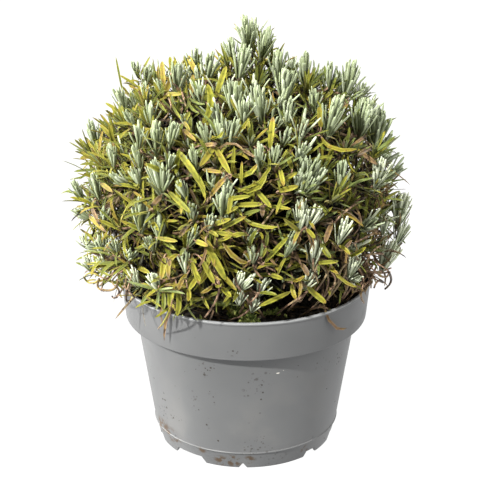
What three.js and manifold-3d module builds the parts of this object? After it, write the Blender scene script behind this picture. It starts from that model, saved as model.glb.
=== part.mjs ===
// A lavender bush in a grey grower's pot, as an assembly of separate named solids.
// Millimetres, +Z up. The front faces -Y, and the origin is on the ground under the middle of the
// whole outline, a few millimetres from the pot's own axis.
import * as THREE from "three";
import { mergeVertices } from "three/addons/utils/BufferGeometryUtils.js";
import Module from "manifold-3d";

const wasm = await Module();
wasm.setup();

const DEG = Math.PI / 180;
const GOLDEN_ANGLE = Math.PI * (3 - Math.sqrt(5));
const UP = new THREE.Vector3(0, 0, 1);

// Two solids that touch keep this distance, so that rounding never makes them overlap.
const SEAT_GAP = 0.35;

// A twig or branch starts as a point inside the stem that bears it, and has its full thickness
// after this share of its length.
const ROOT_SHARE = 0.13;

// The pot is a round 19 cm container with a tall rim band, a tapered body and a notched foot.
const pot = {
  sides: 36,
  height: 132,
  rimRadius: 95,
  lipHeight: 2.6,
  lipProud: 0.6,
  bandHeight: 31,
  bandBottomRadius: 92.2,
  shoulderRadius: 84.4,
  ledgeHeight: 14,
  ledgeRadius: 71.4,
  ledgeDepth: 0.6,
  footRadius: 67.6,
  wall: 1.8,
  floorBottom: 6,
  floorTop: 8.2,
};

// Wide, narrow and pointed cuts in the foot let water run out. Angles are from the front, in degrees.
const footCuts = [
  { angle: -39, bottom: 30, top: 23, height: 5.4 },
  { angle: 46, bottom: 14, top: 9, height: 4.6 },
  { angle: -2, bottom: 6.5, top: 0.8, height: 4 },
];
const footCutRepeats = 3;
const drainHole = { count: 6, radius: 4, ring: 54, sides: 8, firstAngle: -39 };

// The compost fills the pot to a little below the rim and heaps slightly towards the plant.
const soil = {
  edgeTop: 117,
  middleTop: 121,
  middleRadius: 40,
  gap: 0.4,
  lump: 0.9,
};

// The woody crown: a short stool in the soil, limbs that fork, and a branch to each leafy shoot.
const wood = {
  crown: new THREE.Vector3(0, 0, 122),
  stoolBottom: 92,
  stoolTop: 127,
  stoolRadius: 10.5,
  stoolSides: 10,
  stoolTaper: 0.8,
  limbs: 11,
  limbSpread: 80 * DEG,
  limbStart: 7,
  limbRise: 6,
  limbSides: 5,
  forkFrom: 0.35,
  forkTo: 0.8,
  branchSides: 4,
  bend: 0.48,
  limbRadius: 2.7,
  branchRadius: 1.6,
  endRadius: 1.25,
};

// The outline of the foliage is a squarish dome, a little off the pot's centre.
const dome = {
  centre: new THREE.Vector3(-4, 0, 185),
  halfWidth: 130,
  rise: 108,
  drop: 100,
  squareness: 2.6,
  shoots: 44,
  firstAzimuth: -56.5 * DEG,
  lowestSide: 117 * DEG,
  lowestFront: 111 * DEG,
  frontAzimuth: -74 * DEG,
  frontWidth: 38 * DEG,
  // Sprays that stand out of the dome and, last, the thin place low at its front that stays
  // behind it: where they are, how wide and how far they reach.
  bumps: [
    { polar: 18 * DEG, azimuth: 81 * DEG, width: 13 * DEG, extra: 32 },
    { polar: 38 * DEG, azimuth: 14 * DEG, width: 14 * DEG, extra: 10 },
    { polar: 42 * DEG, azimuth: 150 * DEG, width: 12 * DEG, extra: 9 },
    { polar: 72 * DEG, azimuth: 178 * DEG, width: 16 * DEG, extra: 6 },
    { polar: 122 * DEG, azimuth: -72 * DEG, width: 34 * DEG, extra: -34 },
  ],
};

// How shoots grow: where a shoot leaves its branch, how its side twigs spread to the widest gap
// round it, and how high its stem arches over the rim.
const growth = {
  seatShare: 0.58,
  seatSag: 8,
  lowestSeat: 141,
  stemBend: 0.5,
  twigBend: 0.45,
  archRadius: 66,
  archHeight: 147,
  outward: 0.62,
  upward: 0.55,
  twigSpread: 21,
  twigChoices: 14,
  firstTwig: 0.3,
  twigStep: 0.17,
};

// The three kinds of shoot. Each twig ends in whorls of opposite leaves: two pairs at its tip and
// the rest a step lower each. tilts are the angles between twig and leaf, from the tip downwards.
const kinds = {
  silver: {
    colour: 0xa3ab8c,
    inset: 17,
    twigs: 3,
    stem: 1.15,
    twig: 0.95,
    cone: 1.2,
    whorlStep: 2.4,
    length: [17, 23],
    width: 3.2,
    thickness: 1.5,
    widest: 0.58,
    tilts: [14, 26, 43],
    bend: 5,
  },
  yellow: {
    colour: 0x9c9a35,
    inset: 23,
    twigs: 2,
    stem: 1.15,
    twig: 0.95,
    cone: 1.2,
    whorlStep: 3.4,
    length: [24, 33],
    width: 5,
    thickness: 1.5,
    widest: 0.5,
    tilts: [22, 40, 58, 74],
    bend: 22,
  },
  dry: {
    colour: 0x7a5b40,
    inset: 20,
    twigs: 2,
    stem: 1.05,
    twig: 0.9,
    cone: 1.2,
    whorlStep: 4,
    length: [16, 23],
    width: 2.6,
    thickness: 1.3,
    widest: 0.5,
    tilts: [38, 60, 82],
    bend: 40,
  },
};
const twigSides = 4;

// A leaf bends at this share of its length. A leaf with no room tries these other places in turn:
// how far it is turned round its twig, and how far it is tilted out, in degrees.
const LEAF_BEND_SHARE = 0.55;
const leafPlaces = [[0, 0], [0, -9], [0, 9], [14, 0], [-14, 0], [14, 9], [-14, 9], [0, 18]];
const steepestLeaf = 9;

const materials = {
  pot: new THREE.MeshStandardMaterial({ color: 0x9b9c9e, roughness: 0.55, metalness: 0 }),
  soil: new THREE.MeshStandardMaterial({ color: 0x2a2118, roughness: 1, metalness: 0 }),
  wood: new THREE.MeshStandardMaterial({ color: 0x6d5a45, roughness: 0.9, metalness: 0 }),
};
for (const [name, kind] of Object.entries(kinds)) {
  materials[name] = new THREE.MeshStandardMaterial({ color: kind.colour, roughness: 0.85, metalness: 0 });
}

// A repeatable number from 0 to 1 for draw `use` of item `index`.
function chance(index, use) {
  const value = Math.sin(index * 127.1 + use * 311.7) * 43758.5453;
  return value - Math.floor(value);
}

// The unit vector at an angle from straight up, and an azimuth round it.
function directionAt(polar, azimuth) {
  return new THREE.Vector3(
    Math.sin(polar) * Math.cos(azimuth),
    Math.sin(polar) * Math.sin(azimuth),
    Math.cos(polar),
  );
}

// A point some way along a direction from another point.
function along(point, direction, distance) {
  return point.clone().addScaledVector(direction, distance);
}

// Two unit vectors square to a direction and to each other.
function acrossOf(direction) {
  const first = new THREE.Vector3().crossVectors(UP, direction);
  if (first.length() < 0.05) first.set(1, 0, 0);
  first.normalize();
  return [first, new THREE.Vector3().crossVectors(direction, first).normalize()];
}

// A closed three.js geometry as a solid that can be joined and cut.
function solidOf(geometry) {
  const plain = geometry.clone();
  plain.deleteAttribute("normal");
  plain.deleteAttribute("uv");
  const merged = mergeVertices(plain, 1e-4);
  return new wasm.Manifold(
    new wasm.Mesh({
      numProp: 3,
      vertProperties: merged.attributes.position.array,
      triVerts: new Uint32Array(merged.index.array),
    }),
  );
}

// A joined or cut solid as a three.js geometry.
function geometryOf(solid) {
  const mesh = solid.getMesh();
  const geometry = new THREE.BufferGeometry();
  geometry.setAttribute("position", new THREE.BufferAttribute(mesh.vertProperties, 3));
  geometry.setIndex(new THREE.BufferAttribute(mesh.triVerts, 1));
  geometry.computeVertexNormals();
  return geometry;
}

// A solid of revolution about Z from [radius, height] points that start and end on the axis.
function turned(outline, sides) {
  const points = outline.map(([radius, height]) => new THREE.Vector2(radius, height));
  return new THREE.LatheGeometry(points, sides).rotateX(Math.PI / 2);
}

// A tapered rod that follows a curve. The outline gives [radius, share of the way], and `face` is
// the direction that the section's second axis looks to.
function followed(curve, outline, sides, face) {
  const geometry = turned(outline, sides);
  const position = geometry.attributes.position;
  const spot = new THREE.Vector3();
  for (let i = 0; i < position.count; i++) {
    spot.fromBufferAttribute(position, i);
    const share = THREE.MathUtils.clamp(spot.z, 0, 1);
    const tangent = curve.getTangent(share);
    const side = new THREE.Vector3().crossVectors(face, tangent).normalize();
    const front = new THREE.Vector3().crossVectors(tangent, side);
    const placed = curve.getPoint(share);
    placed.addScaledVector(side, spot.x).addScaledVector(front, spot.y);
    position.setXYZ(i, placed.x, placed.y, placed.z);
  }
  return geometry;
}

// A rod with a flat end along a curve, in a number of equal steps from its pointed root.
function rod(curve, startRadius, endRadius, sides, steps) {
  const outline = [[0, 0]];
  for (let i = 0; i <= steps; i++) {
    const share = THREE.MathUtils.lerp(ROOT_SHARE, 1, i / steps);
    outline.push([THREE.MathUtils.lerp(startRadius, endRadius, i / steps), share]);
  }
  outline.push([0, 1]);
  const [face] = acrossOf(curve.getTangent(0.5));
  return followed(curve, outline, sides, face);
}

// The pot's outer and inner outline, from the middle of its floor round the rim and back.
function potOutline() {
  const lipRadius = pot.rimRadius + pot.lipProud;
  const bandBottom = pot.height - pot.bandHeight;
  const rimInside = pot.rimRadius - pot.wall;
  return [
    [0, pot.floorBottom],
    [pot.footRadius - pot.wall - 1.4, pot.floorBottom],
    [pot.footRadius - pot.wall, 0],
    [pot.footRadius, 0],
    [pot.ledgeRadius - pot.ledgeDepth, pot.ledgeHeight - pot.ledgeDepth],
    [pot.ledgeRadius, pot.ledgeHeight],
    [pot.shoulderRadius, bandBottom],
    [pot.bandBottomRadius, bandBottom],
    [pot.rimRadius, pot.height - pot.lipHeight],
    [lipRadius, pot.height - pot.lipHeight + pot.lipProud],
    [lipRadius, pot.height - pot.lipProud],
    [pot.rimRadius, pot.height],
    [rimInside, pot.height],
    [pot.bandBottomRadius - pot.wall, bandBottom + pot.wall],
    [pot.shoulderRadius - pot.wall, bandBottom + pot.wall],
    [pot.ledgeRadius - pot.wall, pot.ledgeHeight],
    [pot.footRadius - pot.wall, pot.floorTop],
    [0, pot.floorTop],
  ];
}

// A trapezoid that cuts through the foot's skirt at one angle from the front.
function footCut({ angle, bottom, top, height }, turn) {
  const clearBelow = 1;
  const shape = new THREE.Shape();
  shape.moveTo(-bottom / 2, -clearBelow);
  shape.lineTo(bottom / 2, -clearBelow);
  shape.lineTo(bottom / 2, 0);
  shape.lineTo(top / 2, height);
  shape.lineTo(-top / 2, height);
  shape.lineTo(-bottom / 2, 0);
  const inner = pot.footRadius - 12;
  const depth = 24;
  const geometry = new THREE.ExtrudeGeometry(shape, { depth, bevelEnabled: false });
  return geometry
    .rotateX(Math.PI / 2)
    .translate(0, -inner, 0)
    .rotateZ((angle + turn) * DEG);
}

function makePot() {
  let solid = solidOf(turned(potOutline(), pot.sides));
  for (let repeat = 0; repeat < footCutRepeats; repeat++) {
    for (const cut of footCuts) {
      solid = solid.subtract(solidOf(footCut(cut, (repeat * 360) / footCutRepeats)));
    }
  }
  for (let hole = 0; hole < drainHole.count; hole++) {
    const angle = ((hole * 360) / drainHole.count + drainHole.firstAngle - 90) * DEG;
    const through = new THREE.CylinderGeometry(drainHole.radius, drainHole.radius, 10, drainHole.sides)
      .rotateX(Math.PI / 2)
      .translate(drainHole.ring * Math.cos(angle), drainHole.ring * Math.sin(angle), pot.floorBottom);
    solid = solid.subtract(solidOf(through));
  }
  return geometryOf(solid);
}

// The compost follows the inside of the pot and has a plain hole for the stool.
function makeSoil() {
  const { gap } = soil;
  const bandBottom = pot.height - pot.bandHeight;
  const bandSlope = (pot.rimRadius - pot.bandBottomRadius) / pot.bandHeight;
  const edgeRadius =
    pot.bandBottomRadius - pot.wall - gap + bandSlope * (soil.edgeTop - bandBottom - pot.wall);
  const outline = [
    [0, pot.floorTop + gap],
    [pot.footRadius - pot.wall - gap, pot.floorTop + gap],
    [pot.ledgeRadius - pot.wall - gap, pot.ledgeHeight + gap],
    [pot.shoulderRadius - pot.wall - gap, bandBottom + pot.wall + gap],
    [pot.bandBottomRadius - pot.wall - gap, bandBottom + pot.wall + gap],
    [edgeRadius, soil.edgeTop],
    [(edgeRadius + soil.middleRadius) / 2, (soil.edgeTop + soil.middleTop) / 2],
    [soil.middleRadius, soil.middleTop],
    [0, soil.middleTop],
  ];
  const geometry = turned(outline, pot.sides);
  const position = geometry.attributes.position;
  for (let i = 0; i < position.count; i++) {
    const radius = Math.hypot(position.getX(i), position.getY(i));
    const onTop = position.getZ(i) > soil.edgeTop + 0.1 && radius > 1;
    if (!onTop) continue;
    const angle = Math.atan2(position.getY(i), position.getX(i));
    const lump = soil.lump * Math.sin(5 * angle + radius) * Math.cos(3 * angle);
    position.setZ(i, position.getZ(i) + lump);
  }
  const hole = new THREE.CylinderGeometry(
    wood.stoolRadius + 2 * SEAT_GAP,
    wood.stoolRadius + 2 * SEAT_GAP,
    60,
    wood.stoolSides,
  )
    .rotateX(Math.PI / 2)
    .translate(0, 0, wood.stoolBottom - SEAT_GAP + 30);
  return geometryOf(solidOf(geometry).subtract(solidOf(hole)));
}

// How far the leaf tips reach from the dome's centre in a direction.
function domeReach(direction) {
  const level = Math.hypot(direction.x, direction.y) / dome.halfWidth;
  const height = Math.abs(direction.z) / (direction.z > 0 ? dome.rise : dome.drop);
  const power = dome.squareness;
  let reach = (level ** power + height ** power) ** (-1 / power);
  for (const bump of dome.bumps) {
    const away = direction.angleTo(directionAt(bump.polar, bump.azimuth));
    reach += bump.extra * Math.exp(-((away / bump.width) ** 2));
  }
  return reach;
}

// Old yellow foliage shows most low down and on the left, and dry foliage low at both sides.
function kindAt(direction, index) {
  if (direction.z < -0.15 && chance(index, 5) < 0.3 + 0.2 * direction.x) return "dry";
  const share = 0.3 - 0.3 * direction.x - 0.3 * direction.z - 0.12 * direction.y;
  return chance(index, 6) < share ? "yellow" : "silver";
}

// The lowest angle that foliage reaches at an azimuth: least far at the front, where it is thin.
function lowestAt(azimuth) {
  const turn = azimuth - dome.frontAzimuth;
  const fromFront = Math.atan2(Math.sin(turn), Math.cos(turn));
  const frontness = Math.exp(-((fromFront / dome.frontWidth) ** 2));
  return THREE.MathUtils.lerp(dome.lowestSide, dome.lowestFront, frontness);
}

// A curve from one point to another that ends along an axis and arches over the pot's rim.
function archTo(start, tip, axis, share) {
  const bend = along(tip, axis, -share * start.distanceTo(tip));
  if (Math.hypot(bend.x, bend.y) > growth.archRadius) bend.z = Math.max(bend.z, growth.archHeight);
  return new THREE.QuadraticBezierCurve3(start, bend, tip);
}

// The shoots' leading stems, evenly spaced over the dome.
function planShoots() {
  const shoots = [];
  for (let index = 0; index < dome.shoots; index++) {
    const azimuth = dome.firstAzimuth + index * GOLDEN_ANGLE + (chance(index, 1) - 0.5) * 12 * DEG;
    const share = (index + 0.5) / dome.shoots;
    const polar = Math.acos(1 - share * (1 - Math.cos(lowestAt(azimuth))));
    const out = directionAt(polar, azimuth);
    const kindName = kindAt(out, index);
    const kind = kinds[kindName];
    const reach = domeReach(out) * (0.95 + 0.06 * chance(index, 2));
    const tip = along(dome.centre, out, reach - kind.inset);
    const seat = wood.crown.clone().lerp(tip, growth.seatShare);
    seat.z = Math.max(seat.z - growth.seatSag * Math.sin(polar), growth.lowestSeat);
    const axis = new THREE.Vector3()
      .addScaledVector(out, growth.outward)
      .addScaledVector(UP, growth.upward)
      .normalize();
    const into = archTo(seat, tip, axis, growth.stemBend).getTangent(0);
    const curve = archTo(along(seat, into, SEAT_GAP), tip, axis, growth.stemBend);
    shoots.push({ index, kindName, kind, out, seat, into, curve, twigs: [] });
  }
  return shoots;
}

// The limbs of the crown. Each shoot belongs to the limb that points most nearly its way; the limb
// runs on to the first of them, and a branch forks from it to each of the others.
function planLimbs(shoots) {
  const limbs = [];
  for (let index = 0; index < wood.limbs; index++) {
    const polar = Math.acos(1 - ((index + 0.5) / wood.limbs) * (1 - Math.cos(wood.limbSpread)));
    limbs.push({ aim: directionAt(polar, index * GOLDEN_ANGLE + 1), members: [] });
  }
  const towards = (shoot) => shoot.seat.clone().sub(wood.crown).normalize();
  for (const shoot of shoots) {
    const limb = limbs.reduce((a, b) => (a.aim.dot(towards(shoot)) > b.aim.dot(towards(shoot)) ? a : b));
    limb.members.push(shoot);
  }
  const used = limbs.filter((limb) => limb.members.length > 0);
  for (const limb of used) {
    limb.members.sort((a, b) => limb.aim.dot(towards(b)) - limb.aim.dot(towards(a)));
    const [leader, ...others] = limb.members;
    const start = along(wood.crown, new THREE.Vector3(limb.aim.x, limb.aim.y, 0), wood.limbStart);
    const bend = along(leader.seat, leader.into, -wood.bend * start.distanceTo(leader.seat));
    bend.z = Math.max(bend.z, wood.crown.z + wood.limbRise);
    limb.curve = new THREE.QuadraticBezierCurve3(start, bend, leader.seat);
    limb.branches = others.map((shoot, order) => {
      const share = THREE.MathUtils.lerp(wood.forkFrom, wood.forkTo, order / others.length);
      const from = limb.curve.getPoint(share);
      const fork = along(shoot.seat, shoot.into, -wood.bend * from.distanceTo(shoot.seat));
      return new THREE.QuadraticBezierCurve3(from, fork, shoot.seat);
    });
  }
  return used;
}

// A curve as straight pieces with a radius, for testing what comes near it.
function pieces(curve, radius, steps, owner, twig) {
  const points = curve.getPoints(steps);
  return points.slice(1).map((point, i) => ({ line: new THREE.Line3(points[i], point), radius, owner, twig }));
}

// Whether a straight piece reaches into the pot's rim or the compost.
function meetsPot({ line, radius }) {
  const spot = new THREE.Vector3();
  const room = radius + SEAT_GAP;
  return [0, 0.5, 1].some((share) => {
    line.at(share, spot);
    const level = Math.hypot(spot.x, spot.y);
    const overRim = level > pot.bandBottomRadius - pot.wall - room && level < pot.rimRadius + 1 + room;
    if (overRim && spot.z < pot.height + room) return true;
    return level < pot.rimRadius && spot.z < soil.middleTop + soil.lump + 1 + room;
  });
}

// Whether new straight pieces keep clear of the pot, the compost and all other pieces.
function isClear(candidates, others) {
  const p = new THREE.Vector3();
  const q = new THREE.Vector3();
  return candidates.every((own) => {
    if (meetsPot(own)) return false;
    return others.every((other) => {
      const room = own.radius + other.radius + SEAT_GAP;
      return own.line.distanceSqToLine3(other.line, p, q) > room * room;
    });
  });
}

// Everything of the woody crown and the leading stems that twigs and leaves keep clear of.
function fillWithStems(shoots, limbs) {
  const filled = [];
  for (const limb of limbs) {
    filled.push(...pieces(limb.curve, wood.limbRadius, 3, "crown"));
    for (const branch of limb.branches) filled.push(...pieces(branch, wood.branchRadius, 2, "crown"));
  }
  for (const shoot of shoots) filled.push(...pieces(shoot.curve, shoot.kind.stem, 3, shoot.index, 0));
  return filled;
}

// The side twigs of every shoot, one after another. Each ends just under the dome's surface, in
// the widest gap that it can reach between the twig ends already there.
function planTwigs(shoots, filled) {
  const ends = shoots.map((shoot) => shoot.curve.v2);
  for (const shoot of shoots) {
    const [first, second] = acrossOf(shoot.out);
    const others = filled.filter(({ owner }) => owner !== shoot.index);
    for (let k = 0; k < shoot.kind.twigs; k++) {
      const from = growth.firstTwig + growth.twigStep * k;
      const start = shoot.curve.getPoint(from);
      const spread = growth.twigSpread * (0.9 + 0.3 * chance(shoot.index, 30 + k));
      const inset = shoot.kind.inset + 2 + 10 * chance(shoot.index, 40 + k);
      let widest = 0;
      let best = null;
      for (let choice = 0; choice < growth.twigChoices; choice++) {
        const angle = ((choice + chance(shoot.index, 20 + k)) * 360 * DEG) / growth.twigChoices;
        const sideways = first.clone().multiplyScalar(Math.cos(angle));
        sideways.addScaledVector(second, Math.sin(angle));
        const out = along(shoot.curve.v2, sideways, spread).sub(dome.centre).normalize();
        const tip = along(dome.centre, out, domeReach(out) - inset);
        const room = Math.min(...ends.map((end) => end.distanceTo(tip)));
        const lowest = lowestAt(Math.atan2(out.y, out.x)) + 4 * DEG;
        if (room <= widest || Math.acos(out.z) > lowest) continue;
        const axis = new THREE.Vector3()
          .addScaledVector(out, growth.outward)
          .addScaledVector(UP, growth.upward)
          .addScaledVector(sideways, 0.2)
          .normalize();
        const curve = archTo(start, tip, axis, growth.twigBend);
        if (!isClear(pieces(curve, shoot.kind.stem, 2), others)) continue;
        widest = room;
        best = curve;
      }
      if (best === null) continue;
      shoot.twigs.push(best);
      ends.push(best.v2);
      filled.push(...pieces(best, shoot.kind.stem, 2, shoot.index, k + 1));
    }
  }
}

// The centre line of a leaf that leaves a twig at a tilt and bends further outwards to its tip.
function leafCurve(root, axis, radial, tilt, bend, length) {
  const tilted = (angle) => axis.clone().multiplyScalar(Math.cos(angle)).addScaledVector(radial, Math.sin(angle));
  const middle = along(root, tilted(tilt), LEAF_BEND_SHARE * length);
  const tip = along(middle, tilted(tilt + bend), (1 - LEAF_BEND_SHARE) * length);
  return new THREE.QuadraticBezierCurve3(root, middle, tip);
}

// A leaf's curve from a facet of its twig, turned or tilted a little until it is clear of all
// other twigs and leaves, or null where there is no room for it.
function planLeaf(shoot, number, axis, root, side, pair, draw, filled) {
  const { kind } = shoot;
  const others = filled.filter(({ owner, twig }) => owner !== shoot.index || twig !== number);
  const length = THREE.MathUtils.lerp(kind.length[0], kind.length[1], chance(draw, 11));
  const tilt = kind.tilts[pair] + 8 * (chance(draw, 12) - 0.5);
  for (const [twist, lift] of leafPlaces) {
    const radial = side.clone().applyAxisAngle(axis, twist * DEG);
    const lifted = Math.max(tilt + lift, steepestLeaf) * DEG;
    const curve = leafCurve(root, axis, radial, lifted, kind.bend * DEG, length);
    const own = pieces(curve, kind.width / 2, 2, shoot.index, number);
    if (!isClear(own, others)) continue;
    filled.push(...own);
    return curve;
  }
  return null;
}

// A three-sided leaf raised from one triangle of a surface: out to a wide ring, then to its tip.
// The leaf's upper side, which has a low ridge, looks to the twig's axis.
function raiseLeaf(corners, curve, axis, kind) {
  const tangent = curve.getTangent(kind.widest);
  const side = new THREE.Vector3().crossVectors(axis, tangent).normalize();
  const front = new THREE.Vector3().crossVectors(tangent, side);
  const centre = new THREE.Vector3();
  for (const corner of corners) centre.addScaledVector(corner, 1 / 3);
  const first = corners[0].clone().sub(centre);
  const third = 120 * DEG;
  const ridge = 90 * DEG;
  const turn = Math.round((Math.atan2(first.dot(front), first.dot(side)) - ridge) / third) * third + ridge;
  const ring = corners.map((_, i) => {
    const angle = turn + i * third;
    return curve
      .getPoint(kind.widest)
      .addScaledVector(side, (kind.width / Math.sqrt(3)) * Math.cos(angle))
      .addScaledVector(front, (kind.thickness / 1.5) * Math.sin(angle));
  });
  const tip = curve.getPoint(1);
  return [0, 1, 2].flatMap((i) => {
    const j = (i + 1) % 3;
    return [
      [corners[i], corners[j], ring[j]],
      [corners[i], ring[j], ring[i]],
      [ring[i], ring[j], tip],
    ];
  });
}

// A twig and its leaves as one closed skin. The twig is a four-sided rod that ends in a cone, and
// leaves are raised from the cone's facets and, in opposite pairs, from the steps just below it.
function leafyTwig(shoot, curve, steps, number, filled) {
  const { kind } = shoot;
  const lowWhorls = kind.tilts.length - 2;
  const leafless = 1 - (kind.cone + lowWhorls * kind.whorlStep) / curve.getLength();
  const outline = [[0, 0]];
  const root = number === 0 ? 0 : ROOT_SHARE;
  for (let i = 0; i <= steps; i++) {
    const share = THREE.MathUtils.lerp(root, leafless, i / steps);
    outline.push([THREE.MathUtils.lerp(kind.stem, kind.twig, i / steps), share]);
  }
  for (let i = 1; i <= lowWhorls; i++) {
    outline.push([kind.twig, leafless + (i * kind.whorlStep) / curve.getLength()]);
  }
  outline.push([0, 1]);

  const axis = curve.getTangent(1);
  const [face] = acrossOf(axis);
  face.applyAxisAngle(axis, chance(shoot.index, 50 + number) * 90 * DEG);
  const skin = followed(curve, outline, twigSides, face).toNonIndexed().attributes.position;
  const stepCount = outline.length - 1;
  const triangles = [];
  for (let t = 0; t < skin.count / 3; t++) {
    const corners = [0, 1, 2].map((i) => new THREE.Vector3().fromBufferAttribute(skin, 3 * t + i));
    const step = Math.floor(t / 2) % stepCount;
    const facet = Math.floor(t / 2 / stepCount);
    const below = stepCount - 1 - step;
    const opposite = (facet + below) % 2 === 0;
    const pair = below === 0 ? facet % 2 : below + 1;
    const bearsLeaf = t % 2 === 0 && below <= lowWhorls && (below === 0 || opposite);
    const middle = new THREE.Vector3();
    for (const corner of corners) middle.addScaledVector(corner, 1 / 3);
    const side = middle.clone().sub(curve.v2).projectOnPlane(axis).normalize();
    const draw = shoot.index * 60 + number * 12 + pair * 4 + facet;
    const leaf = bearsLeaf ? planLeaf(shoot, number, axis, middle, side, pair, draw, filled) : null;
    triangles.push(...(leaf ? raiseLeaf(corners, leaf, axis, kind) : [corners]));
  }
  return new THREE.BufferGeometry().setFromPoints(triangles.flat());
}

// A shoot as one body: its leading stem and its side twigs, each with its leaves.
function makeShoot(shoot, filled) {
  const solids = [solidOf(leafyTwig(shoot, shoot.curve, 2, 0, filled))];
  shoot.twigs.forEach((twig, i) => solids.push(solidOf(leafyTwig(shoot, twig, 1, i + 1, filled))));
  return geometryOf(wasm.Manifold.union(solids));
}

// The crown as one body: the stool, its limbs and their branches.
function makeCrown(limbs) {
  const height = wood.stoolTop - wood.stoolBottom;
  const { stoolRadius, stoolTaper, stoolSides } = wood;
  const stool = new THREE.CylinderGeometry(stoolRadius * stoolTaper, stoolRadius, height, stoolSides)
    .rotateX(Math.PI / 2)
    .translate(0, 0, wood.stoolBottom + height / 2);
  const solids = [solidOf(stool)];
  for (const limb of limbs) {
    solids.push(solidOf(rod(limb.curve, wood.limbRadius, wood.endRadius, wood.limbSides, 3)));
    for (const branch of limb.branches) {
      solids.push(solidOf(rod(branch, wood.branchRadius, wood.endRadius, wood.branchSides, 2)));
    }
  }
  return geometryOf(wasm.Manifold.union(solids));
}

// A mesh whose own origin is at a point of the part, with its shape unchanged.
function meshAt(name, geometry, material, origin = new THREE.Vector3()) {
  const mesh = new THREE.Mesh(geometry.translate(-origin.x, -origin.y, -origin.z), material);
  mesh.name = name;
  mesh.position.copy(origin);
  return mesh;
}

const container = new THREE.Group();
container.add(meshAt("pot", makePot(), materials.pot), meshAt("soil", makeSoil(), materials.soil));

const plant = new THREE.Group();
const shoots = planShoots();
const limbs = planLimbs(shoots);
plant.add(meshAt("woody_crown", makeCrown(limbs), materials.wood, wood.crown));

const filled = fillWithStems(shoots, limbs);
planTwigs(shoots, filled);
const numbers = { silver: 0, yellow: 0, dry: 0 };
for (const shoot of shoots) {
  numbers[shoot.kindName] += 1;
  const number = String(numbers[shoot.kindName]).padStart(2, "0");
  const name = `${shoot.kindName}_shoot_${number}`;
  plant.add(meshAt(name, makeShoot(shoot, filled), materials[shoot.kindName], shoot.seat));
}

// The pot and the plant are laid out round the pot's axis, and then moved as one.
const aboutPotAxis = new THREE.Group();
aboutPotAxis.add(container, plant);
const outline = new THREE.Box3().setFromObject(aboutPotAxis, true);
aboutPotAxis.position.set(-(outline.min.x + outline.max.x) / 2, -(outline.min.y + outline.max.y) / 2, 0);

const pottedLavender = new THREE.Group();
pottedLavender.add(aboutPotAxis);
export default pottedLavender;
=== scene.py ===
"""A potted lavender without flowers: silver tips over yellowing leaves, in a grey grower's pot."""

import math
import random
from dataclasses import dataclass

import bmesh
import bpy
from mathutils import Matrix, Quaternion, Vector, noise
from mathutils.kdtree import KDTree


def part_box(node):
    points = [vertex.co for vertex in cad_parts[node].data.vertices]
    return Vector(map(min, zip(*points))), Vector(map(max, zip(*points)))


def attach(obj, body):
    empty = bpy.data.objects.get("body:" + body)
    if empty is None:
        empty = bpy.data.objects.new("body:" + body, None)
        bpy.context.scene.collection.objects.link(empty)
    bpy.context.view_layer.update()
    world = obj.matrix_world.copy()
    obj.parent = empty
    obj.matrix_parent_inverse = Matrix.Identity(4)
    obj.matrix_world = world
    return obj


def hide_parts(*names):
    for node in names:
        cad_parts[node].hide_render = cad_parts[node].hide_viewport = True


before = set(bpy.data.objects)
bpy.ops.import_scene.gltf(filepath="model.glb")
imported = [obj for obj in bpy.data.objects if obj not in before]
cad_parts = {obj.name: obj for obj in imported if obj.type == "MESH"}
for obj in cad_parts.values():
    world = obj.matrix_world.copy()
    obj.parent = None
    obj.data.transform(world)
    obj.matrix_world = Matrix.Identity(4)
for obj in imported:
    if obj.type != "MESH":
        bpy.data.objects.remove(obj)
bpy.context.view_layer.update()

MM = 0.001
DEG = math.pi / 180
GOLDEN_ANGLE = math.pi * (3 - math.sqrt(5))
UP = Vector((0, 0, 1))

# The pot stands on its own axis, a little off the middle of the whole outline.
POT_LOW, POT_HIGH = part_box("pot")
AXIS = Vector(((POT_LOW.x + POT_HIGH.x) / 2, (POT_LOW.y + POT_HIGH.y) / 2, 0))

# The photograph's camera, fitted to the ellipses of the pot's rim, band, ledge and foot.
CAMERA_FROM_AXIS = Vector((-4.6, -1104, 595)) * MM
EYE = AXIS + CAMERA_FROM_AXIS
CAMERA_PITCH = 21.6 * DEG
FOCAL_PIXELS = 1568
PHOTO_PIXELS = 480
SENSOR_WIDTH = 36

# The heights of the pot's rim and of the lower edge of its band, and its outline as (radius,
# height, rounding), all in millimetres: from the middle of its floor under the foot, up the
# outside, over the rim and down the inside.
RIM_TOP = 132
BAND_BOTTOM = 101
POT_OUTLINE = [
    (0, 6, 0),
    (64.4, 6, 1.2),
    (65.8, 0, 0.4),
    (67.6, 0, 0.5),
    (70.4, 12.9, 0.3),
    (71.6, 13.6, 0.3),
    (71.8, 14.3, 0.3),
    (71.3, 14.9, 0.3),
    (84.4, BAND_BOTTOM, 1.6),
    (92.2, BAND_BOTTOM, 0.9),
    (95, 129.4, 0.4),
    (95.6, 130, 0.3),
    (95.6, 131.4, 0.5),
    (95, RIM_TOP, 0.4),
    (93.2, RIM_TOP, 0.5),
    (90.4, 102.8, 1.2),
    (82.6, 102.8, 1.2),
    (69.6, 14, 2),
    (65.8, 8.2, 1.5),
    (0, 8.2, 0),
]
POT_STEPS = 216
POT_SHARP_EDGE = 38 * DEG

# Cuts in the foot let water run out: (angle from the front, bottom width, top width, height).
FOOT_CUTS = [(-39, 30, 23, 5.4), (46, 14, 9, 4.6), (-2, 6.5, 0.8, 4)]
FOOT_CUT_REPEATS = 3
FOOT_CUT_INSIDE = 55
FOOT_CUT_OUTSIDE = 80
FOOT_CUT_BELOW = -2
DRAIN_HOLES = 6
DRAIN_HOLE_RADIUS = 4
DRAIN_HOLE_RING = 54
DRAIN_HOLE_ANGLE = -39
DRAIN_HOLE_DEPTH = 12
DRAIN_HOLE_STEPS = 24

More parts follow.
